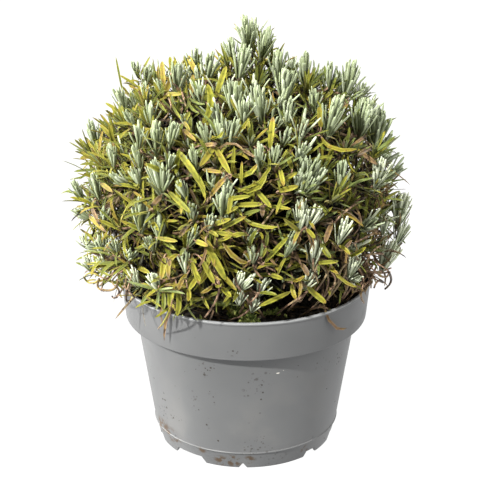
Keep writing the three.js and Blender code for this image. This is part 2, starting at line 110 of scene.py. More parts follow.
# The compost's outline up to its edge, its middle, and how much crumb and moss lies on it.
SOIL_BOTTOM = 8.6
SOIL_EDGE_RADIUS = 91.4
SOIL_EDGE_TOP = 116.4
SOIL_OUTLINE = [
    (0, SOIL_BOTTOM),
    (65.2, SOIL_BOTTOM),
    (69, 14.4),
    (82, 103.2),
    (90, 103.2),
    (SOIL_EDGE_RADIUS, SOIL_EDGE_TOP),
]
SOIL_MIDDLE_TOP = 120.6
SOIL_MIDDLE_RADIUS = 40
SOIL_STEPS = 150
CRUMBS = 800
MOSS_TIPS = 900
MOSS_CLUMPS = 0.1

# The foliage's outline: a squarish dome with sprays that stand out of it and, last, a thin place
# low at its front. Bumps are (polar angle, azimuth, width, reach).
DOME_CENTRE = AXIS + Vector((-4, 0, 185)) * MM
DOME_HALF_WIDTH = 130
DOME_RISE = 108
DOME_DROP = 94
DOME_SQUARENESS = 2.6
DOME_BUMPS = [
    (18, 81, 13, 32),
    (38, 14, 14, 10),
    (42, 150, 12, 9),
    (87, 180, 12, 7),
    (64, 178, 14, -5),
    (74, 0, 15, -9),
    (122, -72, 34, -34),
]

# Foliage grows down to this angle from the top, and to less where it is thin at the front: by how
# much less, and the middle and the half width of that stretch round the axis.
LOWEST_POLAR = 117
LOWEST_LIFT = 6
LOWEST_LIFT_AT = -74
LOWEST_LIFT_WIDTH = 38

# The bush is painted dark up to this share of its reach and fully lit after so much more of it,
# as painted shade on its leaves and bark. The thin place is painted darker by as much as this.
DARK_SHARE = 0.52
OPENING_SHARE = 0.4
THIN_DARKNESS = 0.45

# Below these heights the bush counts as low, its tufts have fewer old leaves, its right side is
# shaded, dead leaves curl out of it and its inside is dark. Low tufts and those on the shaded side
# are painted paler, as painted light.
LOW_BUSH = 165 * MM
SPARSE_BUSH = 162 * MM
SHADED_BUSH = 230 * MM
TANGLED_BUSH = 215 * MM
DARK_INSIDE = 185 * MM
# The shaded side lies this far to the right of the pot's middle, and further.
SHADED_SIDE = 40 * MM


def direction_at(polar, azimuth):
    """A unit direction from its angle from the top and its angle round the axis, in radians."""
    level = math.sin(polar)
    return Vector((level * math.cos(azimuth), level * math.sin(azimuth), math.cos(polar)))


def dome_reach(out):
    """How far leaf tips reach from the dome's centre in a direction, in metres."""
    level = math.hypot(out.x, out.y) / DOME_HALF_WIDTH
    height = abs(out.z) / (DOME_RISE if out.z > 0 else DOME_DROP)
    reach = (level**DOME_SQUARENESS + height**DOME_SQUARENESS) ** (-1 / DOME_SQUARENESS)
    for polar, azimuth, width, extra in DOME_BUMPS:
        away = out.angle(direction_at(polar * DEG, azimuth * DEG)) / (width * DEG)
        reach += extra * math.exp(-(away**2))
    return reach * MM


def lowest_polar(azimuth):
    """How far round from the top foliage grows: less far at the front, where it is thin."""
    turn = azimuth - LOWEST_LIFT_AT * DEG
    from_front = math.atan2(math.sin(turn), math.cos(turn)) / (LOWEST_LIFT_WIDTH * DEG)
    return (LOWEST_POLAR - LOWEST_LIFT * math.exp(-(from_front**2))) * DEG


def thinness(place):
    """How far a place is in the thin part low at the front, from 0 to 1."""
    polar, azimuth, width, _ = DOME_BUMPS[-1]
    away = (place - DOME_CENTRE).angle(direction_at(polar * DEG, azimuth * DEG))
    return math.exp(-((away / (width * DEG)) ** 2))


def openness(place):
    """How near a place is to the foliage's outline: 1 on it and 0 in the middle, where leaves and
    bark get the darkest painted shade.
    """
    way = place - DOME_CENTRE
    if way.length < MM:
        return 0.0
    share = way.length / dome_reach(way.normalized())
    return max(0.0, min(1.0, (share - DARK_SHARE) / OPENING_SHARE - THIN_DARKNESS * thinness(place)))


def past_outline(place):
    """How far a place stands out of the foliage's outline, in metres: less than 0 inside it."""
    way = place - DOME_CENTRE
    return way.length - dome_reach(way.normalized())


def ageing(place):
    """How likely old foliage is to be yellow and to be dry: yellow on the left and low down,
    dry on the right and lowest of all."""
    way = (place - DOME_CENTRE) / (DOME_HALF_WIDTH * MM)
    yellow = 0.7 - 0.38 * way.x - 0.2 * way.z - 0.08 * way.y
    dry = 0.11 + 0.42 * way.x - 0.3 * way.z
    return max(0.1, min(0.9, yellow)), max(0.04, min(0.6, dry))


# What the photograph shows in the thin place stands out of it by as much as this.
THIN_PLACE_OUT = 20 * MM

# Tufts that show in the photograph, as (x, y) pixels of their foot and of their tip.
PHOTO_TUFTS = [
    (248, 44, 245, 17), (263, 53, 269, 27), (232, 57, 230, 38), (240, 73, 245, 45),
    (284, 97, 287, 67), (278, 78, 280, 50), (304, 81, 305, 54), (329, 84, 331, 62),
    (346, 93, 354, 61), (235, 109, 234, 80), (261, 116, 257, 86), (287, 123, 290, 99),
    (314, 108, 315, 88), (329, 130, 339, 99), (360, 130, 367, 98), (375, 142, 381, 108),
    (222, 140, 221, 116), (231, 142, 236, 119), (260, 165, 259, 144), (273, 165, 278, 146),
    (284, 143, 289, 129), (303, 191, 309, 173), (298, 186, 301, 170), (309, 192, 317, 177),
    (310, 177, 318, 157), (302, 173, 305, 156), (316, 182, 325, 166),
    (340, 184, 344, 161), (211, 187, 211, 170), (377, 181, 384, 157), (300, 224, 302, 200),
    (308, 226, 318, 207), (340, 239, 348, 219), (287, 251, 295, 232), (313, 261, 315, 237),
    (350, 272, 357, 253), (384, 265, 395, 240), (384, 231, 388, 214), (398, 221, 405, 193),
    (398, 240, 406, 220), (307, 285, 316, 271), (260, 292, 266, 278), (237, 284, 242, 272),
    (252, 260, 252, 246), (253, 309, 257, 299), (224, 210, 230, 184), (139, 183, 133, 166),
    (161, 190, 154, 161), (164, 188, 169, 170), (125, 184, 111, 174), (195, 167, 193, 147),
    (221, 210, 219, 192), (141, 225, 141, 198), (159, 235, 158, 214), (190, 242, 197, 226),
    (192, 218, 191, 203), (81, 196, 72, 180), (98, 194, 91, 174), (104, 221, 104, 208),
    (116, 251, 110, 239), (103, 253, 98, 235), (87, 246, 81, 234), (91, 269, 85, 256),
    (186, 270, 184, 251), (158, 288, 149, 272), (136, 283, 130, 268), (152, 248, 146, 236),
    (209, 226, 213, 214), (137, 74, 134, 62), (146, 83, 148, 66), (177, 90, 178, 62),
    (196, 73, 195, 50), (208, 77, 212, 52), (146, 102, 145, 83), (124, 109, 117, 88),
    (151, 122, 151, 101), (133, 125, 124, 110), (139, 144, 138, 123), (156, 146, 155, 120),
    (171, 142, 175, 120), (207, 143, 201, 123), (139, 165, 134, 145), (113, 163, 110, 145),
    (96, 143, 90, 121), (170, 166, 172, 154), (105, 138, 99, 127), (185, 196, 178, 180),
    (105, 269, 98, 257), (129, 258, 131, 250), (239, 302, 239, 292), (244, 286, 252, 274),
    (351, 280, 360, 278),
]
# A tuft's foot lies this deep under the outline. As tufts lean, they are longer than they show by
# this factor, and none is shorter than this.
TUFT_INSET = 16 * MM
TUFT_LEAN = 1.1
TUFT_LENGTH = 13 * MM

# Old leaves that show in the photograph: (x, y) pixels of root and tip, width in millimetres, age.
PHOTO_BLADES = [
    (215, 98, 226, 67, 4.8, 0.5), (164, 90, 162, 62, 4.4, 0.66), (165, 93, 174, 73, 4.8, 0.67),
    (167, 94, 182, 94, 3.4, 0.6), (199, 78, 188, 56, 4.6, 0.66), (191, 96, 193, 75, 4, 0.71),
    (172, 72, 170, 57, 3.6, 0.54), (171, 73, 175, 60, 3.2, 0.58), (200, 66, 198, 54, 3.6, 0.56),
    (205, 80, 198, 63, 2.8, 0.45), (206, 101, 203, 84, 3.4, 0.4), (184, 122, 190, 131, 3, 0.66),
    (184, 121, 190, 112, 4, 0.44), (349, 98, 367, 87, 1.6, 0.1), (349, 101, 363, 93, 1.6, 0.1),
    (351, 91, 366, 76, 1.6, 0.1), (324, 98, 333, 91, 2.8, 0.5), (232, 174, 234, 147, 3, 0.5),
    (241, 185, 242, 162, 2.4, 0.54), (224, 213, 238, 207, 3.4, 0.52), (222, 228, 246, 216, 3.4, 0.46),
    (244, 214, 260, 210, 3, 0.28), (256, 190, 271, 207, 4, 0.5), (280, 169, 284, 186, 3.6, 0.52),
    (270, 206, 291, 209, 2.8, 0.5), (292, 169, 286, 150, 3.8, 0.5), (285, 179, 297, 172, 3.4, 0.52),
    (277, 166, 293, 156, 1.8, 0.22), (242, 149, 255, 157, 2.6, 0.85),
    (113, 142, 109, 125, 4, 0.55), (123, 94, 116, 58, 1.8, 0.36), (94, 156, 80, 150, 4.6, 0.48),
    (215, 145, 200, 166, 4.8, 0.62), (215, 147, 230, 173, 4.8, 0.56), (179, 152, 199, 180, 5, 0.5),
    (270, 148, 273, 117, 4.6, 0.54), (251, 86, 246, 78, 4.2, 0.55),
    (279, 191, 298, 186, 4.2, 0.6), (321, 127, 319, 107, 4.6, 0.6),
    (360, 117, 364, 104, 3.6, 0.55), (298, 131, 309, 122, 4, 0.72), (186, 161, 205, 190, 5, 0.5),
    (169, 192, 190, 212, 4.4, 0.46), (207, 245, 225, 279, 5.6, 0.5), (196, 241, 208, 246, 4, 0.55),
    (202, 260, 214, 283, 4.4, 0.5), (158, 238, 177, 241, 3.6, 0.6), (215, 224, 231, 219, 4, 0.52),
    (90, 217, 106, 232, 3.6, 0.66), (101, 183, 112, 192, 3.8, 0.68), (200, 273, 189, 290, 3.8, 0.54),
    (307, 229, 315, 238, 3.4, 0.54), (317, 263, 338, 261, 3.4, 0.48), (290, 292, 260, 306, 3.6, 0.5),
    (271, 275, 283, 279, 3.6, 0.5), (192, 262, 199, 284, 3.8, 0.52),
    (282, 195, 276, 214, 2.2, 0.5), (236, 205, 262, 204, 4, 0.54),
    (222, 200, 250, 196, 3.6, 0.5), (214, 232, 240, 236, 3.6, 0.5), (232, 190, 228, 214, 4, 0.52),
    (300, 232, 284, 219, 3.4, 0.55),
    (344, 250, 352, 240, 3, 0.86), (262, 205, 262, 217, 4, 0.86),
    (361, 152, 377, 164, 3.6, 0.84), (371, 147, 358, 155, 3.6, 0.85),
    (161, 196, 152, 206, 4, 0.84), (180, 236, 186, 226, 3.6, 0.83), (92, 209, 100, 226, 3, 0.84),
    (204, 170, 222, 172, 3, 0.74), (184, 130, 196, 141, 3.2, 0.74), (204, 145, 217, 144, 3.2, 0.76),
]
# How deep a leaf's root and its tip lie under the outline, and the true share of a seen width.
BLADE_INSET = (14 * MM, 3 * MM)
BLADE_WIDTH_SHARE = 0.88

# Old leaves that arch: (x, y) pixels of root, middle and tip, width in millimetres, age.
PHOTO_ARCHES = [
    ((247, 262), (236, 259), (223, 243), 3.6, 0.72), ((307, 287), (317, 296), (326, 303), 4.2, 0.5),
    ((332, 266), (342, 280), (357, 287), 2.6, 0.62), ((321, 243), (325, 251), (331, 258), 3.6, 0.4),
    ((339, 246), (345, 249), (350, 255), 2.6, 0.56), ((350, 256), (358, 253), (366, 247), 2.8, 0.5),
    ((332, 223), (328, 233), (325, 243), 3.6, 0.86), ((355, 254), (357, 248), (352, 243), 2.4, 0.78),
    ((301, 264), (305, 269), (308, 276), 3.6, 0.85), ((293, 281), (299, 280), (305, 276), 2.8, 0.66),
    ((294, 281), (301, 283), (298, 298), 2.4, 0.74), ((292, 284), (293, 292), (296, 299), 3.2, 0.56),
    ((279, 229), (283, 240), (289, 247), 1.8, 0.2), ((265, 262), (276, 250), (288, 237), 3.4, 0.44),
    ((262, 257), (265, 252), (267, 248), 2.4, 0.5), ((267, 249), (275, 253), (285, 256), 2.4, 0.42),
    ((278, 274), (281, 266), (286, 258), 2.4, 0.54), ((260, 257), (262, 250), (262, 243), 2, 0.14),
    ((250, 246), (252, 238), (257, 230), 3, 0.34), ((266, 246), (267, 240), (268, 233), 2.6, 0.36),
    ((260, 293), (268, 293), (277, 295), 2.6, 0.36), ((211, 272), (215, 277), (221, 280), 1.6, 0.7),
    ((212, 286), (208, 290), (201, 293), 2.8, 0.74), ((222, 288), (226, 292), (231, 297), 3.8, 0.5),
    ((216, 285), (219, 287), (222, 284), 2.8, 0.56), ((209, 232), (213, 233), (218, 237), 3, 0.54),
    ((218, 240), (225, 239), (232, 235), 3, 0.56), ((158, 290), (143, 286), (127, 281), 2.2, 0.16),
    ((158, 291), (171, 291), (185, 294), 2, 0.2), ((158, 290), (165, 289), (173, 288), 2, 0.14),
    ((158, 291), (158, 300), (156, 310), 2.2, 0.16), ((163, 293), (164, 301), (163, 310), 3.2, 0.34),
    ((169, 293), (170, 300), (169, 307), 3.6, 0.4), ((178, 291), (179, 303), (177, 316), 3.8, 0.48),
    ((150, 291), (146, 297), (141, 303), 2.4, 0.24), ((147, 297), (154, 302), (161, 307), 1.8, 0.5),
    ((178, 255), (169, 262), (169, 279), 3.6, 0.62), ((164, 258), (163, 268), (161, 279), 3.8, 0.58),
    ((166, 258), (169, 261), (169, 266), 3, 0.84), ((187, 274), (181, 282), (179, 290), 3.2, 0.7),
    ((188, 289), (189, 295), (188, 301), 3.2, 0.62), ((100, 286), (107, 282), (113, 276), 2.6, 0.46),
    ((96, 270), (103, 273), (110, 276), 2.4, 0.44), ((112, 255), (98, 252), (83, 251), 1.6, 0.3),
    ((247, 235), (240, 234), (232, 235), 2.8, 0.46), ((203, 123), (211, 104), (207, 84), 4.8, 0.48),
    ((188, 98), (191, 108), (199, 113), 2.2, 0.34), ((189, 97), (196, 103), (205, 104), 2, 0.26),
    ((157, 99), (160, 105), (166, 112), 2.4, 0.4), ((172, 105), (176, 112), (181, 119), 2, 0.36),
    ((322, 138), (334, 149), (357, 149), 3, 0.6), ((268, 151), (266, 176), (241, 189), 2.4, 0.46),
    ((218, 150), (231, 143), (244, 151), 1.8, 0.84), ((219, 172), (225, 163), (237, 162), 1.8, 0.46),
    ((232, 175), (247, 175), (257, 164), 3.6, 0.46), ((235, 187), (254, 191), (267, 174), 3, 0.48),
    ((211, 196), (218, 186), (228, 176), 3.8, 0.74), ((244, 218), (258, 226), (278, 227), 2.8, 0.48),
    ((231, 131), (241, 130), (248, 119), 2.8, 0.54), ((209, 134), (218, 138), (224, 128), 2.2, 0.46),
]
ARCH_INSET = (13 * MM, 8 * MM, 3 * MM)

# Brown stems that show low at the front and the right: (x, y) pixels of start, middle and end.
PHOTO_TWIGS = [
    ((357, 203), (345, 212), (333, 224)), ((376, 232), (366, 237), (354, 243)),
    ((348, 285), (343, 296), (336, 306)), ((339, 281), (331, 288), (323, 298)),
    ((335, 282), (331, 292), (325, 302)), ((326, 272), (328, 284), (323, 298)),
    ((376, 267), (371, 279), (365, 292)), ((357, 291), (367, 283), (373, 273)),
    ((374, 272), (382, 271), (391, 268)), ((374, 273), (383, 273), (390, 272)),
    ((237, 285), (243, 294), (250, 303)), ((259, 292), (255, 298), (250, 302)),
    ((250, 308), (241, 316), (228, 320)), ((259, 310), (264, 317), (270, 322)),
    ((255, 270), (258, 274), (262, 278)), ((219, 291), (214, 304), (205, 317)),
    ((261, 264), (267, 267), (275, 271)), ((305, 227), (299, 234), (296, 240)),
    ((320, 300), (312, 308), (303, 316)), ((313, 262), (314, 270), (318, 283)),
    ((361, 283), (352, 294), (345, 303)), ((369, 285), (362, 292), (356, 298)),
    ((382, 254), (374, 254), (366, 256)), ((346, 264), (340, 272), (338, 283)),
    ((169, 99), (171, 108), (164, 119)), ((182, 92), (185, 103), (188, 113)),
    ((260, 227), (268, 217), (275, 207)), ((330, 268), (322, 282), (309, 300)),
    ((344, 276), (330, 296), (316, 308)), ((352, 286), (342, 300), (334, 309)),
    ((318, 262), (311, 282), (300, 302)), ((366, 262), (372, 252), (380, 246)),
    ((296, 300), (284, 308), (276, 316)), ((309, 290), (298, 300), (287, 312)),
]
TWIG_INSET = 15 * MM

# Dead leaves that curl in wide arcs under both sides: pixels as above, width, age.
PHOTO_CURLS = [
    ((99, 276), (91, 273), (84, 277), 1.6, 0.62), ((84, 277), (90, 283), (99, 280), 1.6, 0.66),
    ((99, 279), (98, 287), (104, 291), 1.9, 0.84), ((103, 290), (114, 289), (118, 279), 1.9, 0.82),
    ((115, 286), (119, 291), (116, 297), 1.7, 0.9), ((117, 297), (114, 298), (112, 296), 1.6, 0.97),
    ((127, 290), (126, 296), (127, 302), 1.8, 0.93), ((131, 294), (134, 298), (127, 301), 1.6, 0.96),
    ((388, 271), (391, 281), (385, 289), 2.1, 0.97), ((383, 282), (378, 281), (374, 288), 1.9, 0.97),
    ((362, 289), (361, 296), (364, 303), 2.2, 0.88), ((379, 275), (386, 277), (389, 272), 1.8, 0.86),
    ((170, 309), (165, 320), (158, 329), 1.5, 0.6),
]
CURL_INSET = 4 * MM

# The stretch of a line of sight that crosses the bush, in metres from the camera, and its steps.
SIGHT_START = 0.95
SIGHT_STEP = 0.003
SIGHT_STEPS = 120


def kept_in(root, heading, length, spare):
    """A leaf's length, less where its tip would stand out of the foliage's outline."""
    for _ in range(7):
        if past_outline(root + heading * length) < spare:
            break
        length *= 0.9
    return length


def photo_sight(across, down):
    """The direction in which the camera sees a pixel of the photograph."""
    middle = PHOTO_PIXELS / 2
    sight = Vector(((across - middle) / FOCAL_PIXELS, 1, (middle - down) / FOCAL_PIXELS))
    sight.rotate(Quaternion((1, 0, 0), -CAMERA_PITCH))
    return sight.normalized()


def seen_at(pixel, inset):
    """Where the camera's sight of a pixel first lies inside the foliage's outline by an inset, or
    comes nearest to it."""
    sight = photo_sight(*pixel)
    best, nearest = None, math.inf
    for step in range(SIGHT_STEPS):
        place = EYE + sight * (SIGHT_START + step * SIGHT_STEP)
        outside = past_outline(place) + inset - THIN_PLACE_OUT * thinness(place)
        if outside < nearest:
            best, nearest = place, outside
        if nearest <= 0:
            break
    return best


def traced(pixels, insets):
    """A start, a bend and an end for a curve whose middle shows at the middle pixel."""
    start, middle, end = (seen_at(pixel, inset) for pixel, inset in zip(pixels, insets))
    return start, middle * 2 - (start + end) / 2, end


# Meshes, and how they become pieces of the plant.


def mesh_of(bm, name):
    """Writes a bmesh to a new mesh and frees it."""
    mesh = bpy.data.meshes.new(name)
    bm.to_mesh(mesh)
    bm.free()
    return mesh


def shown(name, data):
    """A new object in the scene."""
    made = bpy.data.objects.new(name, data)
    bpy.context.scene.collection.objects.link(made)
    return made


def piece(name, mesh, materials, replaces=()):
    """Shows a mesh as a piece of the plant that rides with the pot."""
    for material in materials:
        mesh.materials.append(material)
    mesh.name = name
    made = shown(name, mesh)
    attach(made, "root")
    if replaces:
        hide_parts(*replaces)
    return made


def rounded(corners, steps=4):
    """An outline's points with each corner (radius, height, rounding) turned into an arc."""
    points = []
    for index, (radius, height, rounding) in enumerate(corners):
        here = Vector((radius, height))
        if not rounding:
            points.append(here)
            continue
        before = Vector(corners[index - 1][:2]) - here
        after = Vector(corners[index + 1][:2]) - here
        reach = min(rounding, before.length * 0.45, after.length * 0.45)
        start = here + before.normalized() * reach
        end = here + after.normalized() * reach
        for step in range(steps + 1):
            share = step / steps
            points.append(
                start * (1 - share) ** 2 + here * 2 * share * (1 - share) + end * share**2
            )
    return points


def turned(points, steps):
    """A bmesh turned round Z from outline points that start and end on the axis."""
    bm = bmesh.new()
    verts = [bm.verts.new((point.x * MM, 0, point.y * MM)) for point in points]
    edges = [bm.edges.new(pair) for pair in zip(verts, verts[1:])]
    bmesh.ops.spin(
        bm, geom=verts + edges, axis=UP, cent=(0, 0, 0), angle=2 * math.pi, steps=steps,
        use_merge=True,
    )
    bmesh.ops.remove_doubles(bm, verts=bm.verts, dist=0.001 * MM)
    bmesh.ops.recalc_face_normals(bm, faces=bm.faces)
    return bm


# What grows: leaves and stems are copies of a few small forms, each bent along its own spine.

# A leaf's half widths along its length, and its section: rolled edges, a groove and a keel.
LEAF_RINGS = [
    (0, 0.4), (0.16, 0.62), (0.38, 0.88), (0.62, 1), (0.84, 0.96), (0.96, 0.72), (1, 0.3)
]
LEAF_SECTION = [(0.5, -0.06), (0.3, 0.14), (0, 0.16), (-0.3, 0.14), (-0.5, -0.06), (0, -0.3)]
# Older leaves are straps with a shallow channel, inner ones are simpler, and a stem is round.
STRAP_RINGS = [(0, 0.4), (0.13, 0.76), (0.34, 0.98), (0.68, 1), (0.89, 0.72), (1, 0.16)]
STRAP_SECTION = [(0.5, 0.22), (0, -0.05), (-0.5, 0.22), (0, -0.22)]
BLADE_RINGS = [(0, 0.5), (0.3, 0.9), (0.7, 1), (1, 0.2)]
BLADE_SECTION = [(0.5, 0), (0, 0.08), (-0.5, 0), (0, -0.14)]
INNER_SECTION = [(0.5, 0.05), (-0.5, 0.05), (0, -0.12)]
STEM_RINGS = [(step / 7, 1) for step in range(8)]
STEM_SECTION = [
    (0.5 * math.cos(k * math.tau / 5), 0.5 * math.sin(k * math.tau / 5)) for k in range(5)
]
SHARP_EDGE = 28 * DEG

# A leaf's age runs from 0, young and felted, to 1, dead. From this age on it is a strap.
STRAP_AGE = 0.12


def make_form(name, rings, section):
    """A closed form one unit wide and long: X across, Y towards its upper face, Z along."""
    bm = bmesh.new()
    bmesh.ops.create_circle(bm, cap_ends=False, radius=1, segments=len(section))
    first_width = rings[0][1]
    for vert, (across, lift) in zip(bm.verts, section):
        vert.co = (across * first_width, lift * first_width, rings[0][0])
    edges = bm.edges[:]
    for (before, old_width), (along, width) in zip(rings, rings[1:]):
        grown = bmesh.ops.extrude_edge_only(bm, edges=edges)["geom"]
        verts = [item for item in grown if isinstance(item, bmesh.types.BMVert)]
        edges = [item for item in grown if isinstance(item, bmesh.types.BMEdge)]
        edges = [edge for edge in edges if set(edge.verts) <= set(verts)]
        scale = width / old_width
        bmesh.ops.scale(bm, vec=(scale, scale, 1), verts=verts)
        bmesh.ops.translate(bm, vec=(0, 0, along - before), verts=verts)
    bmesh.ops.holes_fill(bm, edges=bm.edges, sides=len(section))
    bmesh.ops.recalc_face_normals(bm, faces=bm.faces)
    return mesh_of(bm, name)


LEAF = make_form("leaf_form", LEAF_RINGS, LEAF_SECTION)
STRAP = make_form("strap_form", STRAP_RINGS, STRAP_SECTION)
BLADE = make_form("blade_form", BLADE_RINGS, BLADE_SECTION)
INNER = make_form("inner_form", BLADE_RINGS, INNER_SECTION)
STEM = make_form("stem_form", STEM_RINGS, STEM_SECTION)


@dataclass
class Leaf:
    """A leaf that starts at its root and turns evenly along its length, in metres and radians.
    Its tint and its age are numbers from 0 to 1, and its painted shade follows how open its place
    in the bush is, never less open than its least openness."""

    root: Vector
    heading: Vector
    face: Vector
    length: float
    width: float
    age: float
    tint: float = 0.5
    bend: float = 0.0
    sweep: float = 0.0
    twist: float = 0.0
    thickness: float = 1.0
    least: float = 0.0

    def __post_init__(self):
        """Sets the upper direction square to the heading."""
        self.heading = self.heading.normalized()
        self.face = (self.face - self.heading * self.face.dot(self.heading)).normalized()

    def tip(self):
        """Where the leaf would end if it ran straight."""
        return self.root + self.heading * self.length

    def frames(self, shares):
        """The leaf's middle, its side and its upper direction at shares of its length."""
        place = self.root.copy()
        heading = self.heading.copy()
        face = self.face.copy()
        reached = 0.0
        frames = []

        def turn_by(step):
            turn = Quaternion(heading.cross(face), self.bend * step)
            turn = Quaternion(face, self.sweep * step) @ turn
            heading.rotate(turn)
            face.rotate(turn)

        for share in shares:
            step = share - reached
            turn_by(step / 2)
            place += heading * (self.length * step)
            turn_by(step / 2)
            turned_face = Quaternion(heading, self.twist * share) @ face
            side = heading.cross(turned_face)
            frames.append((place.copy(), side * self.width, turned_face * self.width * self.thickness))
            reached = share
        return frames


@dataclass
class Stem:
    """A tapered stem, or an arched leaf that faces a way, from its root, past a bend, to an end."""

    root: Vector
    bend: Vector
    end: Vector
    root_width: float
    end_width: float
    tint: float = 0.5
    age: float = 0.5
    face: Vector = None
    thickness: float = 1.0
    least: float = 0.0

    def tip(self):
        """Where the stem ends."""
        return self.end

    def frames(self, shares):
        """The stem's middle, its side and its upper direction at shares of its length."""
        spare = self.face or (self.end - self.root).orthogonal()
        frames = []
        for share in shares:
            place = self.root.lerp(self.bend, share).lerp(self.bend.lerp(self.end, share), share)
            heading = (self.bend - self.root).lerp(self.end - self.bend, share).normalized()
            side = heading.cross(spare).normalized()
            width = self.root_width + (self.end_width - self.root_width) * share
            frames.append((place, side * width, side.cross(heading) * width * self.thickness))
        return frames


def grown(name, template, growths):
    """One mesh of a form's copies, each bent along its own spine, with what its finish reads."""
    bm = bmesh.new()
    bm.from_mesh(template)
    one = (len(bm.verts), len(bm.edges), len(bm.faces))
    copies = 1
    while copies < len(growths):
        more = min(copies, len(growths) - copies)
        geom = bm.verts[: more * one[0]] + bm.edges[: more * one[1]] + bm.faces[: more * one[2]]
        bmesh.ops.duplicate(bm, geom=geom)
        copies += more
        for sequence in (bm.verts, bm.edges, bm.faces):
            sequence.ensure_lookup_table()
    mesh = mesh_of(bm, name)
    stations = [tuple(vert.co) for vert in template.vertices]
    shares = sorted({round(station[2], 4) for station in stations})
    rings = [shares.index(round(station[2], 4)) for station in stations]
    values = {key: [] for key in ("along", "across", "age", "tint", "openness")}
    places = []
    for growth in growths:
        frames = growth.frames(shares)
        # How open the copy's root and tip are: this sets its finish's painted shade.
        inner = max(growth.least, openness(growth.root))
        outer = max(growth.least, openness(growth.tip()))
        for (across, lift, along), ring in zip(stations, rings):
            middle, side, face = frames[ring]
            places.extend(middle + side * across + face * lift)
            values["openness"].append(inner + (outer - inner) * along)
        values["along"].extend(station[2] for station in stations)
        values["across"].extend(2 * station[0] for station in stations)
        values["age"].extend([growth.age] * one[0])
        values["tint"].extend([growth.tint] * one[0])
    mesh.vertices.foreach_set("co", places)
    for key, column in values.items():
        mesh.attributes.new(key, "FLOAT", "POINT").data.foreach_set("value", column)
    mesh.shade_smooth()
    if template in (STRAP, BLADE, INNER):
        mesh.set_sharp_from_angle(angle=SHARP_EDGE)
    return mesh


def foliage(name, leaves):
    """Young leaves in the felted form and older ones in the strap form, as meshes."""
    young = [leaf for leaf in leaves if leaf.age < STRAP_AGE]
    old = [leaf for leaf in leaves if leaf.age >= STRAP_AGE]
    return [grown(name, shape, some) for shape, some in ((LEAF, young), (STRAP, old)) if some]


def joined(name, meshes, numbers=None):
    """Several meshes in one, each with its material's number."""
    bm = bmesh.new()
    for mesh, number in zip(meshes, numbers or [0] * len(meshes)):
        before = len(bm.faces)
        bm.from_mesh(mesh)
        bm.faces.ensure_lookup_table()
        for face in bm.faces[before:]:
            face.material_index = number
            face.smooth = True
        bpy.data.meshes.remove(mesh)
    return mesh_of(bm, name)


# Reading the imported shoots: where each of their leaves and bare stems runs.

# Corners nearer than this are one, and only a leaf's edges to its tip are longer than this.
SAME_CORNER = 0.01 * MM
TIP_EDGE = 5 * MM


def merged(name):
    """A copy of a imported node's mesh with its corners joined."""
    bm = bmesh.new()
    bm.from_mesh(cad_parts[name].data)
    bmesh.ops.remove_doubles(bm, verts=bm.verts, dist=SAME_CORNER)
    return bm


def bare_and_leaves(name):
    """A copy of a shoot's mesh without its leaves, and each leaf's (root, widest place, tip)."""
    bm = merged(name)
    leaves = []
    outer = []
    for tip in bm.verts:
        if len(tip.link_edges) != 3 or min(edge.calc_length() for edge in tip.link_edges) < TIP_EDGE:
            continue
        ring = [edge.other_vert(tip) for edge in tip.link_edges]
        roots = {edge.other_vert(vert) for vert in ring for edge in vert.link_edges}
        roots -= {tip, *ring}
        root = sum((vert.co for vert in roots), Vector()) / len(roots)
        widest = sum((vert.co for vert in ring), Vector()) / len(ring)
        leaves.append((root, widest, tip.co.copy()))
        outer += [tip, *ring]
    bmesh.ops.delete(bm, geom=outer, context="VERTS")
    bmesh.ops.holes_fill(bm, edges=bm.edges, sides=4)
    return bm, leaves


class Tuft:
    """The leaves round one twig's end."""

    def __init__(self, leaf):
        self.leaves = [leaf]

    def middle(self):
        return sum((root for root, _, _ in self.leaves), Vector()) / len(self.leaves)

    def settle(self):
        """Works out the twig's direction and its end."""
        spread = sum((tip - root for root, _, tip in self.leaves), Vector())
        self.axis = spread.normalized()
        middle = self.middle()
        reach = max((root - middle).dot(self.axis) for root, _, _ in self.leaves)
        self.apex = middle + self.axis * reach


def tufts_of(leaves, spacing=11 * MM):
    """Sorts a shoot's leaves into the tufts at its twigs' ends."""
    tufts = []
    for leaf in leaves:
        near = [tuft for tuft in tufts if (tuft.middle() - leaf[0]).length < spacing]
        if near:
            min(near, key=lambda tuft: (tuft.middle() - leaf[0]).length).leaves.append(leaf)
        else:
            tufts.append(Tuft(leaf))
    for tuft in tufts:
        tuft.settle()
    return tufts


# Placing leaves and stems.

# Below the pot's rim leaves stay this near to its axis. Past the foliage's outline they reach no
# further than this.
INSIDE_POT = 79 * MM
STANDING_OUT = 5 * MM


def tree_of(places):
    """A tree that finds the nearest of many places."""
    tree = KDTree(len(places))
    for index, place in enumerate(places):
        tree.insert(place, index)
    tree.balance()
    return tree


def scattered(rng, reach):
    """A random vector with each side up to a reach."""
    return Vector([rng.uniform(-reach, reach) for _ in range(3)])


def on_pot(angle, radius, height):
    """A place on the pot at an angle from the front, in degrees and millimetres."""
    turn = (angle - 90) * DEG
    return AXIS + Vector((radius * math.cos(turn), radius * math.sin(turn), height)) * MM


def clear_of_pot(leaves):
    """The leaves that don't run through the pot's wall, hang over its rim or stand out."""
    clear = []
    for leaf in leaves:
        places = [place for place, _, _ in leaf.frames((0.25, 0.5, 0.75, 1))]
        low = [(place - AXIS).xy.length for place in places if place.z < (RIM_TOP + 2) * MM]
        if past_outline(places[-1]) <= STANDING_OUT and not any(away > INSIDE_POT for away in low):
            clear.append(leaf)
    return clear


def leaf_along(leaf, axis, width, age, rng, thickness=1.0):
    """A fine leaf on a packed leaf's own middle line."""
    root, widest, tip = leaf
    low = widest - root
    high = tip - widest
    side = low.cross(axis).normalized()
    bend = low.angle(high) * (1 if low.cross(high).dot(side) > 0 else -1)
    heading = Quaternion(side, -bend * 0.5) @ low.normalized()
    return Leaf(
        root, heading, side.cross(heading), low.length + high.length, width, age,
        tint=rng.random(), bend=2 * bend, thickness=thickness,
    )


